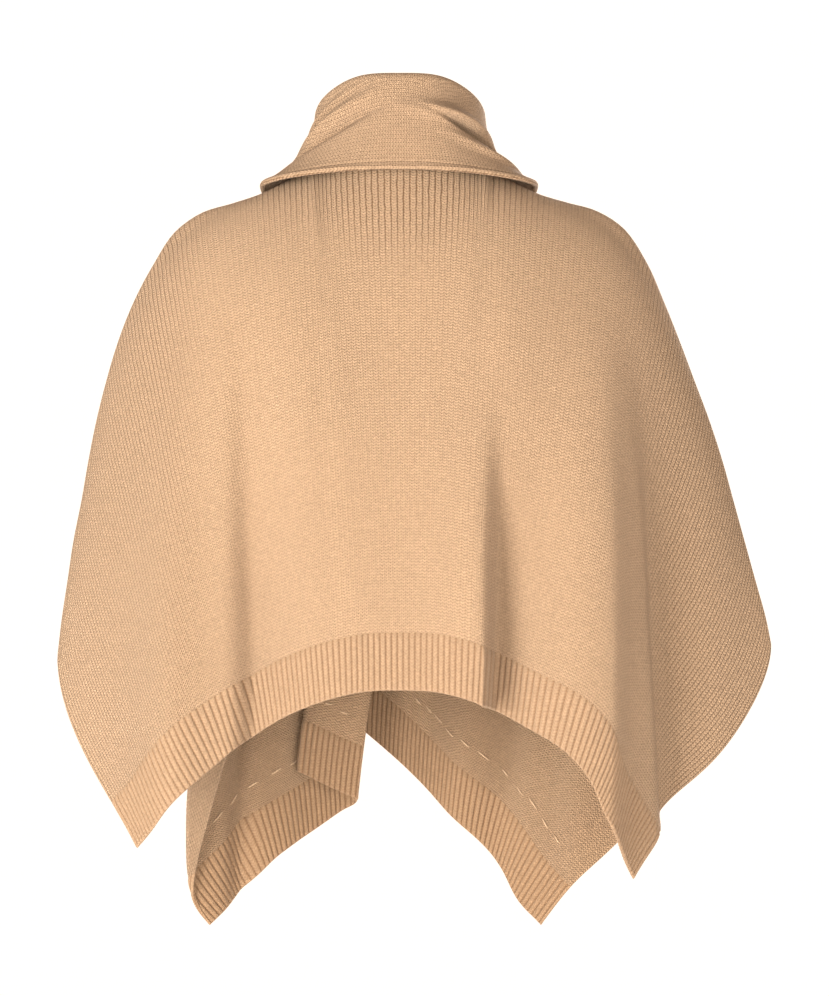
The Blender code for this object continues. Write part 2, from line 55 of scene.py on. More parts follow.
# %% Camera
CAMERA_PLACE = (-14.5, 2770.0, -308.0)
camera_data = bpy.data.cameras.new("camera")
camera_data.lens = 100.0
camera_data.sensor_width = 36.0
camera_data.clip_end = 120.0
camera = bpy.data.objects.new("camera", camera_data)
camera.location = [value * MM for value in CAMERA_PLACE]
camera.rotation_euler = (np.pi / 2, 0.0, np.pi)
bpy.context.scene.collection.objects.link(camera)
bpy.context.scene.camera = camera
print("camera at", tuple(round(value, 3) for value in camera.location))

# %% [markdown]
# ## Studio
# Product photographs of knitwear use big soft lights in a white room.  The world is a warm
# white all round and darker overhead, as between walls that the wool tints.  The wide lamps on
# the camera's side stand as low as the garment, so they model the folds, reach in under the
# hem and leave the shoulders a little darker.  One more lamp lights the front.

# %% Studio
WARM_WHITE = (1.28, 1.12, 1.0, 1.0)
scene = bpy.context.scene
scene.view_settings.view_transform = "Standard"
world = bpy.data.worlds.new("white_room")
world.use_nodes = True
sky = world.node_tree
direction = sky.nodes.new("ShaderNodeTexCoord")
heights = sky.nodes.new("ShaderNodeSeparateXYZ")
overhead = sky.nodes.new("ShaderNodeMapRange")
for socket, value in (("From Min", 0.25), ("From Max", 0.95), ("To Min", 1.0), ("To Max", 0.35)):
    overhead.inputs[socket].default_value = value
sky.links.new(direction.outputs["Generated"], heights.inputs[0])
sky.links.new(heights.outputs["Z"], overhead.inputs["Value"])
sky.links.new(overhead.outputs["Result"], sky.nodes["Background"].inputs["Strength"])
sky.nodes["Background"].inputs["Color"].default_value = WARM_WHITE
scene.world = world

# columns: name, place, size, power, aimed at
LAMPS = (
    ("key", (1700, 2100, -150), 1.0, 112.0, (0, 0, -350)),
    ("fill", (-750, 2850, -420), 1.3, 98.0, (0, 0, -400)),
    ("low", (1300, 2100, -1250), 0.7, 60.0, (-80, -130, -640)),
    ("front", (-1100, -2500, 200), 1.8, 190.0, (0, 0, -300)),
)


def add_lamp(name, place, size, power, target):
    """A square area lamp that faces its target."""
    data = bpy.data.lights.new(name, "AREA")
    data.shape = "SQUARE"
    data.size = size
    data.energy = power
    lamp = bpy.data.objects.new(name, data)
    lamp.location = [value * MM for value in place]
    from_target = np.subtract(place, target)
    across = np.hypot(from_target[0], from_target[1])
    lamp.rotation_euler = (np.arctan2(across, from_target[2]), 0.0,
                           np.arctan2(from_target[0], -from_target[1]))
    scene.collection.objects.link(lamp)


for lamp_row in LAMPS:
    add_lamp(*lamp_row)
print(len(LAMPS), "lamps")

# %% [markdown]
# ## Floor
# The floor is a pale, matt square 1.5 m below the neckline.  It only throws soft light up under
# the hem, so one face is enough.  As stage, it is no part of the garment.

# %% Floor
FLOOR_UP = -1500.0
FLOOR_HALF = 2900.0
FLOOR_PALE = (0.97, 0.97, 0.97, 1.0)


def add_floor():
    """One large pale square."""
    mesh = bpy.data.meshes.new("floor")
    corners = np.array([(-1, -1), (1, -1), (1, 1), (-1, 1)]) * FLOOR_HALF
    mesh.from_pydata([(x * MM, y * MM, FLOOR_UP * MM) for x, y in corners], [], [(0, 1, 2, 3)])
    paint = bpy.data.materials.new("pale_floor")
    paint.use_nodes = True
    shader = paint.node_tree.nodes["Principled BSDF"]
    shader.inputs["Base Color"].default_value = FLOOR_PALE
    shader.inputs["Roughness"].default_value = 0.9
    mesh.materials.append(paint)
    floor = bpy.data.objects.new("floor", mesh)
    scene.collection.objects.link(floor)


add_floor()
print("floor at", FLOOR_UP * MM, "m")

# %% [markdown]
# ## Curves through tables
# A knitter's cut is a short table: a row for each measured place.  Between the rows the edge
# runs on as a smooth curve.  These helpers do that for whole arrays at once.

# %% Curves through tables


def unit(vectors):
    """Each vector divided by its length."""
    return vectors / np.linalg.norm(vectors, axis=-1, keepdims=True)


def smooth(at, knots, values):
    """Cubic pieces between table rows, each with the slope that its neighbours give it."""
    knots = np.asarray(knots, float)
    values = np.asarray(values, float)
    slopes = np.gradient(values, knots, axis=0)
    at = np.asarray(at, float)
    piece = np.clip(np.searchsorted(knots, at, side="right") - 1, 0, len(knots) - 2)
    span = knots[piece + 1] - knots[piece]
    f = (at - knots[piece]) / span
    if values.ndim > 1:
        f = f[..., None]
        span = span[..., None]
    return ((1 + 2 * f) * (1 - f) ** 2 * values[piece] + f * (1 - f) ** 2 * span * slopes[piece]
            + f * f * (3 - 2 * f) * values[piece + 1] - f * f * (1 - f) * span * slopes[piece + 1])


def ramp(value, start, end):
    """0 before start, 1 after end, and 3f^2 - 2f^3 between them."""
    f = np.clip((value - start) / (end - start), 0.0, 1.0)
    return f * f * (3 - 2 * f)


def chord_lengths(points):
    """Running sum of the distances between one point and the next."""
    steps = np.linalg.norm(np.diff(points, axis=0), axis=-1)
    return np.concatenate([[0.0], np.cumsum(steps)])


# %% [markdown]
# ## Neckline and seams
# The neckline is an oval ring, tilted down to the front and lifted at the sides.  Back and
# fronts meet along one seam on each side, over the shoulder and down to the top of the side
# slit.  The seams lie in the plane between front and back.

# %% Neckline and seams
NECK_HALF_WIDTH = 85.0
NECK_HALF_DEPTH = 65.0
NECK_CENTRE_Y = -10.0
NECK_MEAN_UP, NECK_TILT, NECK_SADDLE = 2.2, 38.5, 18.7
NECK_SIDE_ANGLE = 81.0
LEFT_LAP_ANGLE, RIGHT_LAP_ANGLE = 212.0, -212.0
LAP_SINK = 5.0
# columns: across, up; from the top of the slit to the neck
LEFT_SEAM = (
    (343, -465), (339, -430), (333, -390), (327, -350), (319, -310), (312, -270),
    (304, -230), (294, -190), (282, -150), (267, -112), (247, -74), (224, -40),
    (198, -22), (168, -13), (138, -3), (110, 11), (84, 26),
)
RIGHT_SEAM = (
    (-372, -455), (-367, -430), (-356, -390), (-345, -350), (-334, -310), (-323, -270),
    (-310, -230), (-295, -190), (-280, -150), (-264, -110), (-246, -70), (-222, -36),
    (-196, -20), (-167, -12), (-137, -3), (-110, 10), (-84, 26),
)


def neckline(angle):
    """x = w sin a, y = y0 + d cos a, z = mean + tilt cos a - saddle cos 2a."""
    a = np.radians(angle)
    return np.stack([
        NECK_HALF_WIDTH * np.sin(a),
        NECK_CENTRE_Y + NECK_HALF_DEPTH * np.cos(a),
        NECK_MEAN_UP + NECK_TILT * np.cos(a) - NECK_SADDLE * np.cos(2 * a),
    ], axis=-1)


def neck_facing(angle):
    """Half outwards and half up, made square to the neckline."""
    a = np.radians(angle)
    outwards = np.stack([np.sin(a), np.cos(a), np.zeros_like(a)], axis=-1)
    along = unit(neckline(angle + 0.5) - neckline(angle - 0.5))
    facing = outwards + np.array([0.0, 0.0, 1.0])
    facing -= along * np.sum(facing * along, axis=-1, keepdims=True)
    return unit(facing)


def neck_outwards(angle):
    """Along the cloth from the collar to the panel: square to neckline and facing."""
    along = unit(neckline(angle + 0.5) - neckline(angle - 0.5))
    across = np.cross(along, neck_facing(angle))
    return across * np.where(across[..., 2:3] > 0, -1.0, 1.0)


def seam_line(rows, share):
    """Point of a seam at a share of its length."""
    points = np.array([(across, 0.0, up) for across, up in rows], float)
    lengths = chord_lengths(points)
    return smooth(np.asarray(share) * lengths[-1], lengths, points)


def seam_facing(rows, share):
    """Square to the seam in its own plane, upwards."""
    along = unit(seam_line(rows, np.clip(share + 0.01, 0, 1))
                 - seam_line(rows, np.clip(share - 0.01, 0, 1)))
    facing = np.cross(along, np.array([0.0, 1.0, 0.0]))
    return facing * np.where(facing[..., 2:3] < 0, -1.0, 1.0)


print("neckline", round(float(chord_lengths(neckline(np.arange(0, 361, 3.0)))[-1])), "mm round")

# %% [markdown]
# ## Hem lines
# A hem hangs free, so its line in space is what the eye reads first.  Each row is a point of
# the hem, from the side edge on: the back's runs from the garment's left to its right, and each
# front's runs from its side to its free edge.  The left front's turns back twice at its end,
# because the free edge is laid in a Z there.

# %% Hem lines
# columns: across, back, up
BACK_HEM = (
    (253, 75, -648), (232, 92, -627), (211, 103, -601), (184, 110, -573),
    (158, 116, -549), (119, 124, -522), (72, 133, -502), (36, 138, -493),
    (-1, 140, -491), (-41, 141, -493), (-68, 141, -500), (-93, 140, -512),
    (-121, 138, -527), (-150, 134, -545), (-169, 127, -569), (-183, 118, -603),
    (-205, 104, -641), (-227, 82, -678),
)
LEFT_FRONT_HEM = (
    (198, -92, -750), (167, -112, -722), (131, -132, -683), (89, -147, -656),
    (62, -152, -638), (46, -149, -628), (48, -140, -620), (72, -134, -607),
    (95, -128, -597), (104, -119, -594), (95, -111, -598), (72, -108, -609),
    (44, -106, -621),
)
RIGHT_FRONT_HEM = (
    (-147, -95, -750), (-124, -112, -729), (-104, -127, -697), (-78, -140, -665),
    (-52, -150, -639), (1, -165, -588), (41, -170, -554), (75, -171, -526),
    (107, -169, -506),
)
print("hem points:", len(BACK_HEM), len(LEFT_FRONT_HEM), len(RIGHT_FRONT_HEM))

# %% [markdown]
# ## Wales that carry the shape
# A knitted panel hangs in wales, the upright columns of stitches.  So its shape is a few wales,
# and all the others lie between them.  A row says where a wale leaves the upper edge and which
# share of the hem it reaches, how far it stands out and drops at first, and how it comes into
# the hem: from the side, from front or back, and from how high.

# %% Wales that carry the shape
# columns: top, hem, out, drop, aside, tuck, lift
BACK_WALES = (
    (0.00, 0.000, 8, 65, 43, -23, 60),
    (0.16, 0.070, 24, 62, 50, -22, 74),
    (0.33, 0.140, 42, 55, 50, -16, 95),
    (0.52, 0.212, 58, 42, 42, -8, 130),
    (0.72, 0.275, 84, 34, 30, 0, 180),
    (0.82, 0.313, 101, 20, 24, 0, 200),
    (1.00, 0.401, 101, 10, 11, 0, 212),
    (1.10, 0.424, 75, 22, 2, 0, 212),
    (1.20, 0.440, 51, 32, 1, 0, 210),
    (1.35, 0.468, 27, 42, 1, 0, 204),
    (1.50, 0.500, 19, 50, 0, 0, 200),
    (1.65, 0.532, 27, 42, -1, 0, 204),
    (1.80, 0.560, 51, 32, -1, 0, 210),
    (1.90, 0.576, 75, 22, -2, 0, 212),
    (2.00, 0.599, 101, 10, -11, 0, 212),
    (2.18, 0.686, 101, 20, -24, 0, 200),
    (2.28, 0.725, 84, 34, -30, 0, 180),
    (2.48, 0.788, 58, 42, -40, -6, 140),
    (2.67, 0.860, 42, 55, -52, -14, 105),
    (2.84, 0.930, 24, 62, -52, -20, 84),
    (3.00, 1.000, 6, 62, -50, -24, 72),
)
LEFT_FRONT_WALES = (
    (0.00, 0.000, 12, 60, 72, 22, 74),
    (0.16, 0.105, 30, 58, 74, 18, 110),
    (0.33, 0.195, 46, 52, 62, 10, 150),
    (0.52, 0.275, 60, 42, 48, 2, 200),
    (0.72, 0.352, 68, 32, 34, 0, 230),
    (0.82, 0.400, 76, 26, 26, 0, 240),
    (1.00, 0.522, 80, 12, 12, 0, 240),
    (1.10, 0.569, 63, 22, 8, 0, 230),
    (1.20, 0.598, 52, 42, 6, 0, 220),
    (1.45, 0.682, 41, 62, -4, 0, 190),
    (2.00, 1.000, 34, 66, -16, 2, 170),
)
RIGHT_FRONT_WALES = (
    (0.00, 0.000, 8, 60, -44, 20, 62),
    (0.16, 0.085, 28, 58, -60, 18, 96),
    (0.33, 0.170, 46, 52, -62, 10, 140),
    (0.52, 0.260, 62, 42, -52, 2, 200),
    (0.72, 0.338, 88, 31, -34, 0, 240),
    (0.82, 0.389, 98, 18, -26, 0, 250),
    (1.00, 0.522, 100, 20, -12, 0, 240),
    (1.10, 0.579, 82, 27, -9, 0, 227),
    (1.20, 0.630, 67, 34, -8, 0, 214),
    (1.45, 0.760, 51, 60, 0, 0, 180),
    (2.00, 1.000, 44, 66, 10, 0, 160),
)
print("wales given:", len(BACK_WALES), len(LEFT_FRONT_WALES), len(RIGHT_FRONT_WALES))

# %% [markdown]
# ## Where the folds lie
# Chunky knit makes few, soft folds.  Each row is a slanting line from its upper end to its
# foot, a width on either side, and a rise, which is negative for a trough.  A narrow side next
# to a wide one gives the sharp shadow of a real fold.

# %% Where the folds lie
# columns: top_x, top_z, foot_x, foot_z, left, right, rise
BACK_FOLDS = (
    (222, -150, 210, -600, 38, 28, 21),
    (154, -90, 145, -552, 11, 50, -25),
    (-84, -170, -77, -505, 50, 6, 23),
    (-101, -190, -93, -520, 7, 42, -21),
    (-194, -90, -188, -570, 50, 24, 27),
    (-236, -80, -274, -640, 13, 36, -25),
)
LEFT_FRONT_FOLDS = (
    (170, -330, 164, -700, 16, 10, 15),
    (120, -240, 128, -690, 26, 20, -7),
)
RIGHT_FRONT_FOLDS = (
    (-160, -200, -96, -690, 24, 22, 9),
    (-110, -240, -60, -640, 24, 24, -8),
    (-225, -160, -186, -690, 26, 24, -9),
)
print("folds:", len(BACK_FOLDS), len(LEFT_FRONT_FOLDS), len(RIGHT_FRONT_FOLDS))

# %% [markdown]
# ## Cutting the panels
# Each panel gets its hem, wales, folds, seams and its stretch of the neckline.  The left front
# also gets its rolled side edge: how much of its width is turned in at each height.  As the
# under lap, it sinks a little below the other front at the neckline.

# %% Cutting the panels
# columns: above_hem, turned
SIDE_ROLL = ((0, 2), (30, 8), (55, 18), (90, 36), (140, 59), (194, 83), (240, 76),
             (290, 34), (345, 0))


def cut_panel(side, seams, neck_angles, hem, wales, folds, sink=0.0, roll=None):
    """A panel's facts in one place: side is +1 for the back and -1 for a front."""
    hem = np.array(hem, float)
    return {"side": side, "seams": seams, "neck": neck_angles, "hem": hem,
            "hem_at": chord_lengths(hem), "wales": np.array(wales, float), "folds": folds,
            "sink": sink, "roll": roll, "width": chord_lengths(hem)[-1],
            "turn": 1.0 if neck_angles[0] > neck_angles[1] else -1.0}


back = cut_panel(1, (LEFT_SEAM, RIGHT_SEAM), (NECK_SIDE_ANGLE, -NECK_SIDE_ANGLE),
                 BACK_HEM, BACK_WALES, BACK_FOLDS)
left_front = cut_panel(-1, (LEFT_SEAM,), (NECK_SIDE_ANGLE, LEFT_LAP_ANGLE), LEFT_FRONT_HEM,
                       LEFT_FRONT_WALES, LEFT_FRONT_FOLDS, sink=LAP_SINK, roll=SIDE_ROLL)
right_front = cut_panel(-1, (RIGHT_SEAM,), (-NECK_SIDE_ANGLE, RIGHT_LAP_ANGLE),
                        RIGHT_FRONT_HEM, RIGHT_FRONT_WALES, RIGHT_FRONT_FOLDS)
for panel_name, panel in (("back", back), ("left front", left_front),
                          ("right front", right_front)):
    print(panel_name, "hem", round(panel["width"]), "mm")

# %% [markdown]
# ## From cut to hanging cloth
# A wale is a Bezier curve from the upper edge to the hem.  A point of the cloth is named by
# the share of the hem's width and by the distance above the hem along its wale, exactly as a
# knitter counts stitches and rows.  The same two numbers later place the stitches.

# %% From cut to hanging cloth
WALE_STEPS = 64
SEAM_GAP = 0.3
SINK_BEGINS, SINK_ENDS = 118.0, 148.0
FACING_ACROSS, FACING_UP = 0.6, 1.0


def upper_edge(panel, place):
    """0 to 1 up the first seam, 1 to 2 round the neckline, 2 to 3 down the other seam."""
    points = seam_line(panel["seams"][0], np.clip(place, 0, 1))
    start, end = panel["neck"]
    angle = start + (end - start) * np.clip(place - 1, 0, 1)
    sink = ramp(np.abs(angle), SINK_BEGINS, SINK_ENDS)[..., None] * panel["sink"]
    neck = neckline(angle) - sink * neck_facing(angle)
    neck = neck + neck_outwards(angle) * SEAM_GAP
    points = np.where((place > 1)[..., None], neck, points)
    if len(panel["seams"]) > 1:
        last = seam_line(panel["seams"][1], np.clip(3 - place, 0, 1))
        points = np.where((place > 2)[..., None], last, points)
    return points


def place_of(panel, share):
    """Place on the upper edge of the wale that meets the hem at this share."""
    dense = np.linspace(panel["wales"][0, 0], panel["wales"][-1, 0], 1201)
    return np.interp(share, smooth(dense, panel["wales"][:, 0], panel["wales"][:, 1]), dense)


def wale_controls(panel, share):
    """The four points that steer each wale's Bezier curve, from top to hem."""
    out, drop, aside, tuck, lift = np.moveaxis(
        smooth(share, panel["wales"][:, 1], panel["wales"][:, 2:]), -1, 0)
    first = upper_edge(panel, place_of(panel, share))
    last = smooth(share * panel["width"], panel["hem_at"], panel["hem"])
    second = first + np.stack([0 * out, panel["side"] * out, -drop], axis=-1)
    third = last + np.stack([aside, tuck, lift], axis=-1)
    return first, second, third, last


def bezier(controls, t):
    """(1-t)^3 A + 3t(1-t)^2 B + 3t^2(1-t) C + t^3 D; for points, t has a last axis of one."""
    a, b, c, d = controls
    return (1 - t) ** 3 * a + 3 * t * (1 - t) ** 2 * b + 3 * t * t * (1 - t) * c + t ** 3 * d


def wale_heights(panel, share):
    """Distance above the hem at evenly spaced places along each wale, from hem to top."""
    controls = wale_controls(panel, share)
    t = np.linspace(1, 0, WALE_STEPS + 1).reshape(-1, *([1] * share.ndim))
    points = bezier([c[None] for c in controls], (t + 0 * share[None])[..., None])
    steps = np.linalg.norm(np.diff(points, axis=0), axis=-1)
    return np.concatenate([0 * steps[:1], np.cumsum(steps, axis=0)])


def hanging(panel, share, above):
    """Point of the plain hanging cloth: the wale's Bezier at that length above the hem.

    Past either end the wale goes on straight.
    """
    shape = np.broadcast_shapes(share.shape, above.shape)
    heights = np.broadcast_to(wale_heights(panel, share), (WALE_STEPS + 1,) + shape)
    above = np.broadcast_to(above, shape)
    inside = np.clip(above, 0.0, heights[-1])
    step = np.clip((heights <= inside[None]).sum(axis=0) - 1, 0, WALE_STEPS - 1)
    low = np.take_along_axis(heights, step[None], 0)[0]
    high = np.take_along_axis(heights, step[None] + 1, 0)[0]
    t = 1 - (step + (inside - low) / (high - low)) / WALE_STEPS
    controls = wale_controls(panel, share)
    point = bezier(controls, t[..., None])
    nudge = np.where(t > 0.5, -0.002, 0.002)[..., None]
    ahead = unit(bezier(controls, t[..., None] + nudge) - point) * np.sign(nudge)
    return point - ahead * (above - inside)[..., None]


def facing_of(surface, panel, share, above):
    """Outward direction of a surface: a step across its width times a step up its wales."""
    step = FACING_ACROSS / panel["width"]
    across = (surface(panel, np.clip(share + step, 0, 1), above)
              - surface(panel, np.clip(share - step, 0, 1), above))
    upwards = surface(panel, share, above + FACING_UP) - surface(panel, share, above - FACING_UP)
    return unit(np.cross(across, upwards)) * panel["turn"]


print("longest wale of the back",
      round(float(wale_heights(back, np.linspace(0, 1, 50))[-1].max())), "mm")

# %% [markdown]
# ## Folds and the rolled side
# Each fold is a ridge or a trough that grows towards the hem, so it is added to the plain cloth
# along its facing.  The left front's side edge is not held by a seam below the slit, so it
# rolls inwards, as plain knit does.

# %% Folds and the rolled side
ROLL_RADIUS = 5.0
ROLL_TURN = np.radians(152.0)
ROLL_LOOK_IN = 2.0


def fold_rise(panel, points):
    """Sum of ridges: rise * exp(-(distance from the fold's line / width)^2), fading upwards."""
    x, z = points[..., 0], points[..., 2]
    rise = np.zeros(x.shape)
    for top_x, top_z, foot_x, foot_z, left, right, height in panel["folds"]:
        down = (top_z - z) / (top_z - foot_z)
        offset = x - top_x - (foot_x - top_x) * np.clip(down, 0, 1.3)
        width = np.where(offset > 0, left, right)
        rise += height * ramp(down, 0.0, 0.75) * np.exp(-(offset / width) ** 2)
    return rise


def draped(panel, share, above):
    """The hanging cloth with its folds, and with its side edge rolled in.

    The roll is an arc of ROLL_TURN, and the cloth goes straight on from its end.
    """
    plain = hanging(panel, share, above)
    plain_facing = facing_of(hanging, panel, share, above)
    points = plain + plain_facing * fold_rise(panel, plain)[..., None]
    if panel["roll"] is None:
        return points
    rows = np.array(panel["roll"], float)
    turned = np.clip(smooth(np.clip(above, 0, rows[-1, 0]), rows[:, 0], rows[:, 1]), 0, None)
    turned = np.broadcast_to(turned, points.shape[:-1])
    beyond = turned - share * panel["width"]
    fold_share = turned / panel["width"]
    line = hanging(panel, fold_share, above)
    normal = facing_of(hanging, panel, fold_share, above)
    line = line + normal * fold_rise(panel, line)[..., None]
    inner = hanging(panel, fold_share + ROLL_LOOK_IN / panel["width"], above)
    inner = inner + normal * fold_rise(panel, inner)[..., None]
    edgeward = unit(line - inner)
    angle = np.clip(beyond / ROLL_RADIUS, 0, ROLL_TURN)[..., None]
    flat = np.clip(beyond - ROLL_TURN * ROLL_RADIUS, 0, None)[..., None]
    rolled = (line + edgeward * (ROLL_RADIUS * np.sin(angle) + flat * np.cos(ROLL_TURN))
              - normal * (ROLL_RADIUS * (1 - np.cos(angle)) + flat * np.sin(ROLL_TURN)))
    return np.where((beyond > 0)[..., None], rolled, points)


for panel_name, panel in (("back", back), ("right front", right_front)):
    depth = fold_rise(panel, hanging(panel, np.linspace(0, 1, 200), np.full(200, 60.0)))
    print(panel_name, "folds run from", round(float(depth.min())), "to",
          round(float(depth.max())), "mm")

# %% [markdown]
# ## A wall with rounded edges
# Real knit has two faces: smooth V stitches outside and purl bumps inside.  So each piece is
# one closed wall, with the outer face first and the inner face second, and strips that join
# them along its borders.  At a free edge the wall thins in a quarter circle, so no edge looks
# cut.  The same function lists the corners of the faces and the stitch counts at them.

# %% A wall with rounded edges


def spaced(length, step, tight=(0.0, 0.12, 0.45, 1.0, 1.9)):
    """Places from 0 to length, about a step apart, and close together at both ends."""
    ends = np.array(tight)
    middle = np.linspace(ends[-1], length - ends[-1], max(2, int(round(length / step))))
    return np.concatenate([ends[:-1], middle, (length - ends[:-1])[::-1]])


def edge_round(distance, radius=1.3, thinnest=0.04):
    """Height of a quarter circle at this distance from its foot, from thinnest to 1."""
    f = np.clip(1 - distance / radius, 0, 1)
    return np.clip(np.sqrt(1 - f * f), thinnest, 1)


def wall_corners(front, behind, open_sides):
    """Four corners of every face: the outside, the inside, then a strip along each border.

    The borders run so that every strip faces outwards.
    """
    def cells(grid, order):
        corners = (grid[:-1, :-1], grid[:-1, 1:], grid[1:, 1:], grid[1:, :-1])
        return np.stack([corners[i] for i in order], axis=2).reshape(-1, 4, *grid.shape[2:])

    borders = [(front[0, ::-1], behind[0, ::-1]), (front[-1], behind[-1])]
    if open_sides:
        borders += [(front[:, 0], behind[:, 0]), (front[::-1, -1], behind[::-1, -1])]
    strips = [np.stack([line[:-1], line[1:], under[1:], under[:-1]], axis=1)
              for line, under in borders]
    return np.concatenate([cells(front, (0, 1, 2, 3)), cells(behind, (0, 3, 2, 1))] + strips)


square = wall_corners(np.arange(4).reshape(2, 2), np.arange(4, 8).reshape(2, 2), True)
print("a wall of one cell has", len(square), "faces")

# %% [markdown]
# ## From wall to mesh
# The stitches are counted in the UV map: U is the wale number and V is the course number.
# Where the cloth is stretched sideways, grooves open between its wales, bumped in and painted
# dark as shade, so each point also carries a number from 0 to 1 for that, in the attribute
# "opened".  A wall that closes into a ring, as the collar does, uses its first column of points
# again as its last.

# %% From wall to mesh


def cloth_wall(name, middle, facing, half_out, half_in, stitch, opened, materials, flip,
               ring=None):
    """Closed wall: middle + facing * half_out, and middle - facing * half_in behind it.

    For a ring, ring is the number of courses all the way round.
    """
    if flip:
        middle, facing, stitch = middle[:, ::-1], facing[:, ::-1], stitch[:, ::-1]
        half_out, half_in, opened = half_out[:, ::-1], half_in[:, ::-1], opened[:, ::-1]
    rows, columns = middle.shape[:2]
    outer = middle + facing * half_out[..., None]
    inner = middle - facing * half_in[..., None]
    points = np.concatenate([outer.reshape(-1, 3), inner.reshape(-1, 3)]) * MM
    number = np.arange(rows * columns).reshape(rows, columns)
    if ring is not None:
        number = np.concatenate([number, number[:, :1]], axis=1)
        stitch = np.concatenate([stitch, stitch[:, :1] + [0.0, ring]], axis=1)
    faces = wall_corners(number, number + rows * columns, ring is None)
    uvs = wall_corners(stitch, stitch, ring is None)
    outside_count = (number.shape[0] - 1) * (number.shape[1] - 1)
    slots = np.zeros(len(faces), np.int32)
    slots[outside_count:2 * outside_count] = 1
    return wall_piece(name, points, faces, uvs, slots, opened, materials)


def wall_piece(name, points, faces, uvs, slots, opened, materials):
    """Arrays into a mesh, all at once, and the mesh into an object at the origin."""
    mesh = bpy.data.meshes.new(name)
    mesh.vertices.add(len(points))
    mesh.vertices.foreach_set("co", points.ravel())
    mesh.loops.add(faces.size)
    mesh.loops.foreach_set("vertex_index", faces.ravel().astype(np.int32))
    mesh.polygons.add(len(faces))
    mesh.polygons.foreach_set("loop_start", np.arange(0, faces.size, 4, dtype=np.int32))
    mesh.update(calc_edges=True)
    for material in materials:
        mesh.materials.append(material)
    mesh.polygons.foreach_set("material_index", slots)
    mesh.polygons.foreach_set("use_smooth", np.ones(len(faces), bool))
    layer = mesh.uv_layers.new(name="stitches")
    layer.data.foreach_set("uv", uvs.ravel().astype(np.float32))
    share_opened = mesh.attributes.new("opened", "FLOAT", "POINT")
    share_opened.data.foreach_set("value", np.tile(opened.ravel(), 2).astype(np.float32))
    mesh.update()
    piece = bpy.data.objects.new(name, mesh)
    scene.collection.objects.link(piece)
    print(name, 2 * len(faces), "triangles")
    return piece


# %% [markdown]
# ## Wool, as nodes
# At arm's length a knit is seen as rows of small Vs: two slanting legs of yarn to a stitch,
# with a dark line between one wale and the next.  Modelling fifty thousand loops would be far
# too heavy, so the height of the yarn is worked out from the UV map with a few sine and
# absolute-value nodes, and drives a Bump node.  The same height darkens the grooves a little,
# because light hardly reaches between the yarns.  A fine noise is the fuzz of the wool, and two
# coarser ones are the mixed dye of the yarn.  A faint sheen stands for its loose fibres.

# %% Wool, as nodes
CAMEL = (0.262, 0.168, 0.099)
# painted shade: the dark colour mixed in where the yarn's height is low, in its grooves and
# hollows
CAMEL_PAINTED_SHADE = (0.105, 0.052, 0.023)
# painted shade: the rib bands and the insides are the same camel wool, painted darker
CAMEL_RIB_SHADED = (0.208, 0.132, 0.077)
CAMEL_INSIDE_SHADED = (0.250, 0.153, 0.085)
CAMEL_RIB_INSIDE_SHADED = (0.205, 0.124, 0.068)
SHEEN_TINT = (1.0, 0.82, 0.62, 1.0)
FUZZ_SCALE, FUZZ_SHARE = 1900.0, 0.5
MELANGE_SCALE, MELANGE_SHARE = 420.0, 0.65
BROAD_SCALE, BROAD_SHARE = 9.0, 0.10


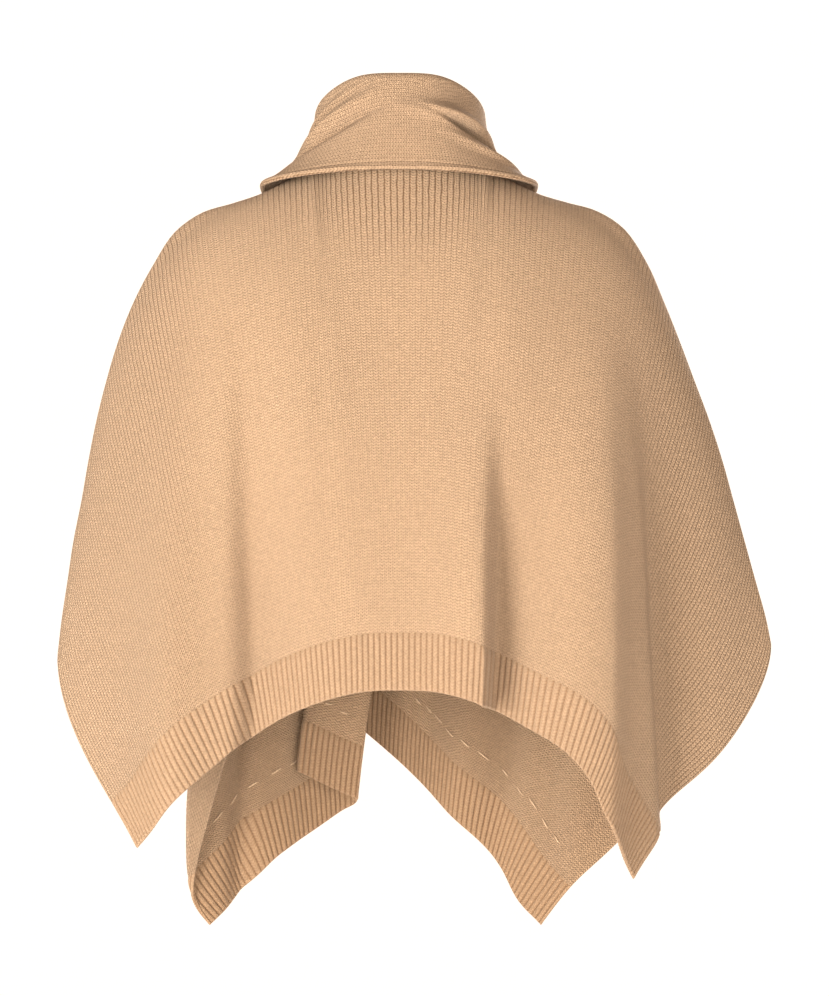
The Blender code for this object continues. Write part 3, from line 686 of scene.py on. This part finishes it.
class YarnNodes:
    """A small helper that adds math nodes and joins them up."""

    def __init__(self, name, colour=CAMEL, deep=CAMEL_PAINTED_SHADE):
        self.material = bpy.data.materials.new(name)
        self.material.use_nodes = True
        self.tree = self.material.node_tree
        self.shader = self.tree.nodes["Principled BSDF"]
        self.colour, self.deep = colour, deep

    def math(self, operation, first, second=0.0, clamp=False):
        node = self.tree.nodes.new("ShaderNodeMath")
        node.operation = operation
        node.use_clamp = clamp
        for socket, value in zip(node.inputs, (first, second)):
            if hasattr(value, "is_linked"):
                self.tree.links.new(value, socket)
            else:
                socket.default_value = value
        return node.outputs[0]

    def stitch_place(self, uneven=0.0):
        """U and V of the piece's own UV map; uneven moves them as a hand's tension does."""
        uv = self.tree.nodes.new("ShaderNodeUVMap")
        uv.uv_map = "stitches"
        apart = self.tree.nodes.new("ShaderNodeSeparateXYZ")
        self.tree.links.new(uv.outputs["UV"], apart.inputs[0])
        u, v = apart.outputs["X"], apart.outputs["Y"]
        if uneven:
            aside = self.math("SUBTRACT", self.noise(130.0, 2.0), 0.5)
            up = self.math("SUBTRACT", self.noise(90.0, 2.0), 0.5)
            u = self.math("ADD", u, self.math("MULTIPLY", aside, uneven))
            v = self.math("ADD", v, self.math("MULTIPLY", up, 1.6 * uneven))
        return u, v

    def opened(self):
        """How far the wales are drawn apart here, from 0 to 1."""
        node = self.tree.nodes.new("ShaderNodeAttribute")
        node.attribute_name = "opened"
        return node.outputs["Fac"]

    def noise(self, scale, detail=3.0):
        """Noise on the object's own coordinates, in metres."""
        place = self.tree.nodes.new("ShaderNodeTexCoord").outputs["Object"]
        texture = self.tree.nodes.new("ShaderNodeTexNoise")
        texture.inputs["Scale"].default_value = scale
        texture.inputs["Detail"].default_value = detail
        self.tree.links.new(place, texture.inputs["Vector"])
        return texture.outputs["Fac"]

    def finish(self, height, depth_mm, dark_at, light_at):
        """Height from 0 to 1 becomes bump, and painted shade where it is low; noise adds fuzz and
        melange.
        """
        tree = self.tree
        shader = self.shader
        bump = tree.nodes.new("ShaderNodeBump")
        bump.inputs["Strength"].default_value = 1.0
        bump.inputs["Distance"].default_value = depth_mm * MM
        fuzz = self.noise(FUZZ_SCALE, 2.0)
        fuzzy = self.math("ADD", height, self.math("MULTIPLY", fuzz, FUZZ_SHARE))
        tree.links.new(fuzzy, bump.inputs["Height"])
        tree.links.new(bump.outputs["Normal"], shader.inputs["Normal"])
        # Painted shade: low heights, the grooves between the yarns, are mixed towards the dark
        # colour.
        lit = self.math("DIVIDE", self.math("SUBTRACT", height, dark_at), light_at - dark_at,
                        clamp=True)
        mix = tree.nodes.new("ShaderNodeMix")
        mix.data_type = "RGBA"
        mix.inputs["A"].default_value = (*self.deep, 1.0)
        mix.inputs["B"].default_value = (*self.colour, 1.0)
        tree.links.new(lit, mix.inputs["Factor"])
        melange = self.math("SUBTRACT", self.noise(MELANGE_SCALE), 0.5)
        melange = self.math("MULTIPLY", melange, MELANGE_SHARE)
        broad = self.math("SUBTRACT", self.noise(BROAD_SCALE, 2.0), 0.5)
        broad = self.math("MULTIPLY", broad, BROAD_SHARE)
        tone = self.math("ADD", self.math("ADD", melange, broad), 1.0)
        hue = tree.nodes.new("ShaderNodeHueSaturation")
        tree.links.new(tone, hue.inputs["Value"])
        tree.links.new(mix.outputs["Result"], hue.inputs["Color"])
        tree.links.new(hue.outputs["Color"], shader.inputs["Base Color"])
        shader.inputs["Roughness"].default_value = 0.95
        shader.inputs["Specular IOR Level"].default_value = 0.10
        shader.inputs["Sheen Weight"].default_value = 0.10
        shader.inputs["Sheen Roughness"].default_value = 0.5
        shader.inputs["Sheen Tint"].default_value = SHEEN_TINT
        return self.material


print("wool from", CAMEL_PAINTED_SHADE, "in the grooves to", CAMEL, "on the yarn")


# %% [markdown]
# ## The stitches
# Outside, the two legs of a stitch slant up and outwards, so a row of stitches reads as a
# small zigzag.  Its gap is |sin| of the course number less a share of the distance from the
# wale's middle.  Only where the wales are drawn apart does an upright groove show between
# them, bumped in and painted dark as shade.  Inside, the same loops show their backs as wavy
# rows of purl bumps.

# %% The stitches


def from_wale_middle(yarn, u):
    """0 in the middle of a wale and 0.5 halfway to the next."""
    return yarn.math("ABSOLUTE", yarn.math("SUBTRACT", yarn.math("FRACT", u), 0.5))


def v_stitches(yarn, slant=1.0):
    """Zigzag rows, cut by a groove between the wales where they are opened."""
    u, v = yarn.stitch_place(uneven=0.4)
    half = from_wale_middle(yarn, u)
    along = yarn.math("SUBTRACT", v, yarn.math("MULTIPLY", half, slant))
    row = yarn.math("ABSOLUTE", yarn.math("SINE", yarn.math("MULTIPLY", along, np.pi)))
    row = yarn.math("POWER", row, 0.7)
    off_leg = yarn.math("ABSOLUTE", yarn.math("SUBTRACT", half, 0.25))
    off_leg = yarn.math("POWER", yarn.math("MULTIPLY", off_leg, 4.0), 3.0)
    leg = yarn.math("SUBTRACT", 1.0, yarn.math("MULTIPLY", off_leg, 0.30))
    loops = yarn.math("MULTIPLY", leg, yarn.math("ADD", yarn.math("MULTIPLY", row, 0.62), 0.38))
    # The groove between opened wales is bump, and painted shade through the finish's dark colour.
    groove = yarn.math("POWER", yarn.math("MULTIPLY", half, 2.0), 5.0)
    groove = yarn.math("MULTIPLY", groove, yarn.opened())
    return yarn.math("SUBTRACT", loops, groove, clamp=True)


def purl_bumps(yarn):
    """|sin| rows that wave up over a wale and down between two wales."""
    u, v = yarn.stitch_place(uneven=0.7)
    wave = yarn.math("COSINE", yarn.math("MULTIPLY", u, 2 * np.pi))
    row = yarn.math("ADD", v, yarn.math("MULTIPLY", wave, 0.27))
    ridge = yarn.math("ABSOLUTE", yarn.math("SINE", yarn.math("MULTIPLY", row, np.pi)))
    lobe = yarn.math("ABSOLUTE", wave)
    return yarn.math("MULTIPLY", yarn.math("POWER", ridge, 0.8),
                     yarn.math("ADD", yarn.math("MULTIPLY", lobe, 0.35), 0.65))


def rib_wales(yarn, crest_at):
    """High over the rib, deep in the gap beside it, with a faint line down the middle."""
    u, v = yarn.stitch_place()
    off = from_wale_middle(yarn, yarn.math("ADD", u, 0.5 - crest_at))
    gap = yarn.math("MULTIPLY", yarn.math("POWER", yarn.math("MULTIPLY", off, 2.0), 3.0), 0.72)
    line = yarn.math("SUBTRACT", 1.0, yarn.math("MULTIPLY", off, 12.0), clamp=True)
    line = yarn.math("MULTIPLY", line, 0.16)
    along = yarn.math("SUBTRACT", v, yarn.math("MULTIPLY", off, 1.6))
    row = yarn.math("ABSOLUTE", yarn.math("SINE", yarn.math("MULTIPLY", along, np.pi)))
    loops = yarn.math("ADD", yarn.math("MULTIPLY", row, 0.30), 0.70)
    return yarn.math("SUBTRACT", yarn.math("SUBTRACT", loops, gap), line, clamp=True)


print("three stitch patterns: plain, purl and rib")

# %% [markdown]
# ## The finishes
# One finish for each face of each kind of knit.  The numbers after the pattern are how deep its
# bump is in millimetres, and the heights at which the colour is the painted shade of the groove
# and that of the yarn.  The insides are painted a little deeper in colour as shade, because light
# bounces there from wool to wool, and the rib bands are painted darker as the shade of their ribs.

# %% The finishes
outside = YarnNodes("camel_plain_knit")
outside_knit = outside.finish(v_stitches(outside), 1.5, 0.05, 0.80)
inside = YarnNodes("camel_purl_inside", colour=CAMEL_INSIDE_SHADED)
inside_purl = inside.finish(purl_bumps(inside), 1.4, -0.5, 0.70)
rib_face = YarnNodes("camel_rib_outside", colour=CAMEL_RIB_SHADED)
rib_outside = rib_face.finish(rib_wales(rib_face, 0.5), 0.6, -0.1, 0.95)
rib_back = YarnNodes("camel_rib_inside", colour=CAMEL_RIB_INSIDE_SHADED)
rib_inside = rib_back.finish(rib_wales(rib_back, 0.0), 0.7, 0.05, 0.95)
collar_face = YarnNodes("camel_collar_knit")
collar_knit = collar_face.finish(v_stitches(collar_face, 1.1), 1.5, 0.05, 0.80)
collar_back = YarnNodes("camel_collar_inside")
collar_purl = collar_back.finish(purl_bumps(collar_back), 1.1, 0.05, 0.70)
finishes = (outside_knit, inside_purl, rib_outside, rib_inside, collar_knit, collar_purl)
print("finishes:", ", ".join(finish.name for finish in finishes))

# %% [markdown]
# ## Easing a corner
# Where neckline and shoulder seam meet at a corner, all the wales below would carry a crease.
# Knit gives there, so the cloth just below is drawn towards a blurred copy of itself.

# %% Easing a corner


def blurred_across(points, spread):
    """Each point becomes the mean of its row's neighbours, weighted by exp(-(n/spread)^2)."""
    reach = 2 * spread
    weights = np.exp(-(np.arange(-reach, reach + 1) / spread) ** 2)
    weights /= weights.sum()
    padded = np.pad(points, ((0, 0), (reach, reach), (0, 0)), mode="reflect", reflect_type="odd")
    count = points.shape[1]
    return sum(w * padded[:, shift:shift + count] for shift, w in enumerate(weights))


def eased(outer, facing, from_top, from_side, spread):
    """Cloth moved along its facing to its blurred copy, 26 to 110 mm below the upper edge."""
    move = blurred_across(outer, spread) - outer
    weight = (ramp(from_top, 2.0, 26.0) * ramp(from_top, 210.0, 110.0)
              * ramp(from_side, 30.0, 90.0))
    return outer + facing * (weight * np.sum(move * facing, axis=-1))[..., None]


flat_cloth = np.stack([*np.meshgrid(np.arange(60.0), np.arange(5.0)), np.zeros((5, 60))], axis=-1)
print("flat cloth stays flat:", bool(np.allclose(blurred_across(flat_cloth, 6), flat_cloth)))

# %% [markdown]
# ## Panels
# Each panel runs from its rib band up to the seam and the neckline, as in the CAD model, with
# many more rows and columns.  At its upper edge the wall turns to face the way the seam does,
# so that back and front close on each other.  The wales are counted along a line half way up,
# where the panel is widest, so they crowd together towards the hem as the garment narrows.
# They are opened near the neckline, and where the cloth leans out at the sides.

# %% Panels
PANEL_WALL = 2.6
WALE = 4.8
COURSE = 2.9
BAND_DEPTH = 55.0
CORNER_SPREAD = 22.0
TURN_TO_SEAM = 9.0
SEAM_STEP = 0.1
SELVEDGE_RISE = 0.8
MIDDLE_ACROSS = -14.0


def upper_facing(panel, place):
    """Facing of the upper edge: that of the seam, or of the neckline between the seams.

    Which of the points are on the neckline comes with it.
    """
    start, end = panel["neck"]
    angle = start + (end - start) * np.clip(place - 1, 0, 1)
    facing = seam_facing(panel["seams"][0], np.clip(place, 0, 1))
    if len(panel["seams"]) > 1:
        last = seam_facing(panel["seams"][1], np.clip(3 - place, 0, 1))
        facing = np.where((place > 2)[:, None], last, facing)
    on_neck = ((place > 1) & (place < 2))[:, None]
    return np.where(on_neck, neck_facing(angle), facing), on_neck


def drawn_apart(outer, from_top):
    """0 to 1: a little everywhere, more out at the sides and near the neckline."""
    # This share cuts the groove between the wales into the bump and paints it dark as shade.
    leaning = ramp(np.abs(outer[..., 0] - MIDDLE_ACROSS), 190.0, 265.0) * 0.62
    near_neck = ramp(from_top, 130.0, 20.0) * ramp(np.abs(outer[..., 0]), 175.0, 75.0)
    return np.clip(0.08 + leaning + near_neck * 0.75, 0.0, 0.85)


def panel_piece(name, panel, column_step, row_step):
    """The cloth between the rib band and the upper edge, as a wall with round edges.

    Wale number: length along the half-way line / wale width.
    """
    across = spaced(panel["width"], column_step)
    share = across[None, :] / panel["width"]
    lengths = wale_heights(panel, share)[-1]
    rows = int(np.max(lengths) / row_step)
    up = np.concatenate([[0.0, 0.0003], np.linspace(0.004, 0.993, rows),
                         [0.9965, 0.9985, 0.9996, 1.0]])
    above = BAND_DEPTH + up[:, None] * (lengths - BAND_DEPTH)
    outer = draped(panel, share, above)
    facing = facing_of(draped, panel, share, above)
    from_side = np.minimum(across, panel["width"] - across)[None, :]
    from_top = lengths - above
    outer = eased(outer, facing, from_top, from_side, int(round(CORNER_SPREAD / column_step)))
    place = place_of(panel, share[0])
    target, on_neck = upper_facing(panel, place)
    near_top = ramp(above, lengths - TURN_TO_SEAM, lengths)[..., None]
    facing = unit(facing * (1 - near_top) + target[None] * near_top)
    outer[-1] = upper_edge(panel, place)
    outer[-1] += np.where(on_neck, 0.0, 1.0) * np.array([0.0, panel["side"] * SEAM_STEP, 0.0])
    selvedge = SELVEDGE_RISE * np.exp(-((from_side - 2.0) / 1.2) ** 2) * ramp(from_top, 0.0, 12.0)
    half = (PANEL_WALL / 2 + selvedge) * edge_round(np.minimum(from_side, from_top))
    middle = outer - facing * PANEL_WALL / 2
    half_way = hanging(panel, share, lengths * 0.5)[0]
    wale_count = np.broadcast_to(chord_lengths(half_way) / WALE, above.shape)
    stitch = np.stack([wale_count, above / COURSE], axis=-1)
    return cloth_wall(name, middle, facing, half, half, stitch, drawn_apart(outer, from_top),
                      (outside_knit, inside_purl), panel["turn"] < 0)


back_knit = panel_piece("back_knit", back, 3.4, 3.8)
left_front_knit = panel_piece("left_front_knit", left_front, 2.4, 4.2)
right_front_knit = panel_piece("right_front_knit", right_front, 3.2, 4.2)

# %% [markdown]
# ## Rib bands
# The bands are knitted one plain, one purl, so the plain wales stand out as ribs on both
# faces, with the ribs of one face between those of the other.  They are large enough to be
# real shape here, so the hem has the right outline and catches the light rib by rib.

# %% Rib bands
RIB_RISE = 1.3
RIB_GROOVE = 0.4
CAST_OFF_RISE, CAST_OFF_UP, CAST_OFF_WIDTH = 0.75, 1.9, 1.3
BACK_RIBS = 118
FRONT_RIBS = 60


def rib_crest(phase):
    """Round crest once a rib: |sin|, flattened so that the grooves are narrow."""
    return np.abs(np.sin(np.pi * phase)) ** 0.6


def band_piece(name, panel, ribs, per_rib):
    """The lowest 55 mm of the wales: ribs on both faces, and the thick cast-off edge."""
    edge = np.array([0.0, 0.12, 0.45, 1.0])
    inner = np.arange(1, ribs * per_rib) * panel["width"] / (ribs * per_rib)
    inner = inner[(inner > 1.4) & (inner < panel["width"] - 1.4)]
    across = np.concatenate([edge, inner, (panel["width"] - edge)[::-1]])
    share = across[None, :] / panel["width"]
    above = np.concatenate([[0.0, 0.12, 0.45, 1.0, 1.9, 2.9], np.linspace(4, BAND_DEPTH - 0.2, 15),
                            [BAND_DEPTH]])[:, None]
    outer = draped(panel, share, above)
    facing = facing_of(draped, panel, share, above)
    phase = np.broadcast_to(across / panel["width"] * ribs, (above.shape[0], across.size))
    fade = ramp(BAND_DEPTH - above, -0.6, 2.4) * (0.35 + 0.65 * ramp(above, 2.0, 5.0))
    cast_off = CAST_OFF_RISE * np.exp(-((above - CAST_OFF_UP) / CAST_OFF_WIDTH) ** 2)
    from_edge = np.minimum(np.minimum(across, panel["width"] - across)[None, :], above)
    roundness = edge_round(from_edge)
    flat = PANEL_WALL / 2 - RIB_GROOVE + cast_off
    half_out = (flat + RIB_RISE * fade * rib_crest(phase)) * roundness
    half_in = (flat + RIB_RISE * fade * rib_crest(phase + 0.5)) * roundness
    middle = outer - facing * PANEL_WALL / 2
    stitch = np.stack([phase, np.broadcast_to(above / COURSE, phase.shape)], axis=-1)
    return cloth_wall(name, middle, facing, half_out, half_in, stitch, 0 * half_out,
                      (rib_outside, rib_inside), panel["turn"] < 0)


back_rib = band_piece("back_rib", back, BACK_RIBS, 8)
left_front_rib = band_piece("left_front_rib", left_front, FRONT_RIBS, 10)
right_front_rib = band_piece("right_front_rib", right_front, FRONT_RIBS, 8)

# %% [markdown]
# ## Collar sections
# The collar is a tube: it stands up from the neckline inside, folds over at the top, and falls
# outside to a rolled rim.  Each direction round the neck has its own section: how far out and
# how high the top, the waist of the turned-down layer and its edge are.  The creases are soft
# ridges and troughs on that layer.  A crease lies at a direction and a place down the layer,
# slopes as it goes round, and has a width each way.

# %% Collar sections
# columns: angle, top, top_up, waist, waist_up, edge, edge_up
COLLAR_SECTIONS = (
    (0, 66, 109, 84, 62, 88, 12),
    (40, 70, 106, 92, 58, 112, 10),
    (70, 76, 92, 100, 50, 139, 6),
    (92, 78, 80, 102, 42, 141, 3),
    (125, 80, 62, 106, 16, 136, -30),
    (155, 80, 44, 102, -12, 130, -68),
    (180, 80, 38, 102, -22, 130, -82),
    (205, 80, 44, 102, -12, 130, -68),
    (235, 80, 62, 104, 16, 134, -30),
    (268, 78, 80, 92, 44, 139, 4),
    (290, 76, 92, 94, 52, 137, 6),
    (320, 70, 106, 91, 58, 110, 10),
)
# columns: angle, place, slope, round, down, rise
COLLAR_CREASES = (
    (-40, 0.36, -0.0018, 27, 0.085, 14.0),
    (-57, 0.52, -0.0052, 26, 0.030, -21.0),
    (-62, 0.70, -0.0052, 26, 0.060, 7.0),
    (52, 0.34, 0.0060, 24, 0.070, 8.0),
    (46, 0.50, 0.0060, 26, 0.050, -8.0),
    (60, 0.20, 0.0060, 20, 0.045, 5.0),
)


def ring_smooth(angle, rows):
    """The table's curve carried once round the neck and closed."""
    rows = np.array(rows, float)
    turn = np.zeros(rows.shape[1])
    turn[0] = 360.0
    wrapped = np.concatenate([rows - turn, rows, rows + turn])
    return smooth(angle, wrapped[:, 0], wrapped[:, 1:])


middle_back = ring_smooth(np.array([0.0]), COLLAR_SECTIONS)[0]
print("collar top at the centre back:", round(float(middle_back[1])), "mm up")

# %% [markdown]
# ## Collar
# Both layers are Bezier curves, and a half circle joins them along the top.  The stitches lie
# on their sides, because the collar is knitted as a long strip and sewn on sideways.  So its
# wales are counted from the rim, and its courses round the neck.

# %% Collar
COLLAR_WALL = 3.0
COLLAR_TOP_ROUND = 8.0
STAND_LEAN, STAND_RISE = 6.0, 24.0
TOP_REACH = 34.0
FALL_SPRING = 3.0
WAIST_REACH = 22.0
RIM_TAIL = np.array([0.9925, 0.9965, 0.999, 1.0])
# columns: rise, from_edge, width
RIM_ROLLS = ((1.5, 3.4, 2.3), (-0.5, 7.6, 1.0), (0.5, 10.2, 1.4))
COLLAR_WALE = 3.9
COURSES_ROUND = 200.0
STAND_ROWS, TOP_ROWS, FALL_ROWS = 34, 14, 66


def collar_profile(angle, stand_rows, top_rows, fall_rows):
    """Stand, top fold and fall of the collar in each direction, as grids of points.

    The neckline is an ellipse, so the direction a meets it at its own angle of
    arctan2(sin a / half width, cos a / half depth).
    """
    top, top_up, waist, waist_up, edge, edge_up = np.moveaxis(
        ring_smooth(angle, COLLAR_SECTIONS), -1, 0)
    a = np.radians(angle)
    outwards = np.stack([np.sin(a), np.cos(a)], axis=-1)
    centre = np.array([0.0, NECK_CENTRE_Y])
    own = np.degrees(np.arctan2(np.sin(a) / NECK_HALF_WIDTH, np.cos(a) / NECK_HALF_DEPTH))
    neck = neckline(own) - neck_outwards(own) * SEAM_GAP - neck_facing(own) * COLLAR_WALL
    neck_out = np.sum((neck[:, :2] - centre) * outwards, axis=-1)
    neck_up = neck[:, 2]
    top_start = top_up - COLLAR_TOP_ROUND
    t = np.linspace(0, 1, stand_rows + 1)[:-1, None] + 0 * angle[None, :]
    inner_top = top - COLLAR_TOP_ROUND
    out = [bezier((neck_out, neck_out - STAND_LEAN, inner_top, inner_top), t)]
    up = [bezier((neck_up, neck_up + STAND_RISE, top_up - TOP_REACH, top_start), t)]
    turn = np.radians(np.linspace(0, 180, top_rows + 1))[:, None]
    out.append(top - COLLAR_TOP_ROUND * np.cos(turn))
    up.append(top_start + COLLAR_TOP_ROUND * np.sin(turn))
    t = np.concatenate([np.linspace(0, 0.985, fall_rows + 1)[1:], RIM_TAIL])[:, None] + 0 * angle
    outer_top = top + COLLAR_TOP_ROUND
    fall = bezier((outer_top, outer_top + FALL_SPRING, waist, edge), t)
    for at, place, slope, around, down, rise in COLLAR_CREASES:
        off = (angle - at + 180) % 360 - 180
        line = place + slope * off
        fall = fall + rise * np.exp(-(off / around) ** 2 - ((t - line) / down) ** 2)
    out.append(fall)
    up.append(bezier((top_start, top_up - TOP_REACH, waist_up - WAIST_REACH, edge_up), t))
    out, up = np.concatenate(out), np.concatenate(up)
    return np.concatenate([centre + out[..., None] * outwards, up[..., None]], axis=-1)


def collar_piece(name, columns):
    """The tube's wall, thicker in rolls along its rim: rise * exp(-(distance / width)^2)."""
    angle = np.arange(columns) * 360.0 / columns
    points = collar_profile(angle, STAND_ROWS, TOP_ROWS, FALL_ROWS)
    around = np.roll(points, -1, axis=1) - np.roll(points, 1, axis=1)
    along = np.gradient(points, axis=0)
    facing = unit(np.cross(around, along))
    lengths = np.concatenate([np.zeros((1, columns)), np.cumsum(
        np.linalg.norm(np.diff(points, axis=0), axis=-1), axis=0)])
    from_edge = lengths[-1] - lengths
    rim = sum(rise * np.exp(-((from_edge - at) / width) ** 2) for rise, at, width in RIM_ROLLS)
    half = COLLAR_WALL / 2 * edge_round(np.minimum(from_edge, lengths + 0.05))
    half = half + rim * np.clip(from_edge / 2.0, 0, 1)
    middle = points - facing * COLLAR_WALL / 2
    round_count = np.broadcast_to(angle / 360.0 * COURSES_ROUND, lengths.shape)
    stitch = np.stack([from_edge / COLLAR_WALE, round_count], axis=-1)
    # Near the rim the grooves between the wales open more: bump and painted shade.
    opened = 0.25 + 0.35 * np.exp(-(from_edge / 9.0) ** 2)
    return cloth_wall(name, middle, facing, half, half, stitch, opened,
                      (collar_knit, collar_purl), False, ring=COURSES_ROUND)


collar_tube = collar_piece("collar_tube", 320)

# %% [markdown]
# ## Floats of yarn
# On the inside of both fronts, a row of short loose stitches runs along above the rib band.
# They are sewn by hand with a single yarn, so each is a small round tube with blunt ends that
# lies on the inner face, a little uneven from one to the next.

# %% Floats of yarn
FLOAT_ABOVE = 81.0
FLOAT_EVERY = 18.0
FLOAT_LENGTH = 11.0
FLOAT_RADIUS = 0.9
FLOAT_YARN = (0.40, 0.265, 0.160)


def float_row(name, panel, first, material):
    """Tubes of radius R sqrt(1 - (0.95 s)^2) with s from -1 to 1 along each float."""
    begins = np.arange(first, panel["width"] - 14.0, FLOAT_EVERY)
    begins = begins + 3.0 * np.sin(1.7 * begins)
    s = np.linspace(-1, 1, 9)
    length = FLOAT_LENGTH * (0.85 + 0.2 * np.sin(2.3 * begins))
    across = begins[:, None] + (s + 1) / 2 * length[:, None]
    above = FLOAT_ABOVE + 1.5 * np.sin(0.9 * begins)[:, None] + 0.8 * s
    share = across / panel["width"]
    facing = facing_of(draped, panel, share, above)
    bow = 0.5 * (1 - s * s)
    centre = draped(panel, share, above) - facing * (PANEL_WALL + 0.35 + bow)[..., None]
    along = unit(np.gradient(centre, axis=1))
    sideways = np.cross(along, facing)
    radius = FLOAT_RADIUS * np.sqrt(1 - (0.95 * s) ** 2)
    turn = np.arange(8) * np.pi / 4
    ring = (np.cos(turn)[:, None] * sideways[:, :, None]
            + np.sin(turn)[:, None] * facing[:, :, None])
    points = centre[:, :, None] + radius[None, :, None, None] * ring
    number = np.arange(points.size // 3).reshape(points.shape[:3])
    after = np.roll(number, -1, axis=2)
    sides = np.stack([number[:, :-1], after[:, :-1], after[:, 1:], number[:, 1:]], axis=-1)
    ends = np.concatenate([number[:, 0, ::-1], number[:, -1]])
    mesh = bpy.data.meshes.new(name)
    mesh.from_pydata((points.reshape(-1, 3) * MM).tolist(), [],
                     sides.reshape(-1, 4).tolist() + ends.tolist())
    mesh.shade_smooth()
    mesh.materials.append(material)
    piece = bpy.data.objects.new(name, mesh)
    scene.collection.objects.link(piece)
    print(name, len(begins), "floats")
    return piece


single_yarn = YarnNodes("camel_single_yarn", colour=FLOAT_YARN)
yarn_finish = single_yarn.finish(single_yarn.noise(900.0), 0.5, 0.2, 0.5)
left_floats = float_row("left_front_floats", left_front, 40.0, yarn_finish)
right_floats = float_row("right_front_floats", right_front, 30.0, yarn_finish)

# %% [markdown]
# ## Ride and replace
# Nothing on a poncho is hinged, so every piece rides on the one body.  Each wall takes the
# place of its plain CAD piece, which is hidden.  Its row also gives the size and area of its cut
# laid flat in metres.  The floats stand for no CAD piece.

# %% Ride and replace
# columns: piece, CAD node, finish, flat width and length, flat area if it is no rectangle
PIECES = (
    (back_knit, "back_panel", "camel_knit", (0.76, 0.62), 0.36),
    (left_front_knit, "left_front_panel", "camel_knit", (0.42, 0.72), 0.22),
    (right_front_knit, "right_front_panel", "camel_knit", (0.46, 0.72), 0.25),
    (back_rib, "back_rib_band", "camel_rib", (0.74, 0.055), None),
    (left_front_rib, "left_front_rib_band", "camel_rib", (0.36, 0.055), None),
    (right_front_rib, "right_front_rib_band", "camel_rib", (0.37, 0.055), None),
    (collar_tube, "collar", "camel_collar", (0.56, 0.20), None),
)
for piece, node, finish, flat, area in PIECES:
    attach(piece, "root")
    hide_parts(node)
for floats in (left_floats, right_floats):
    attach(floats, "root")
print(len(PIECES), "walls and 2 rows of floats")
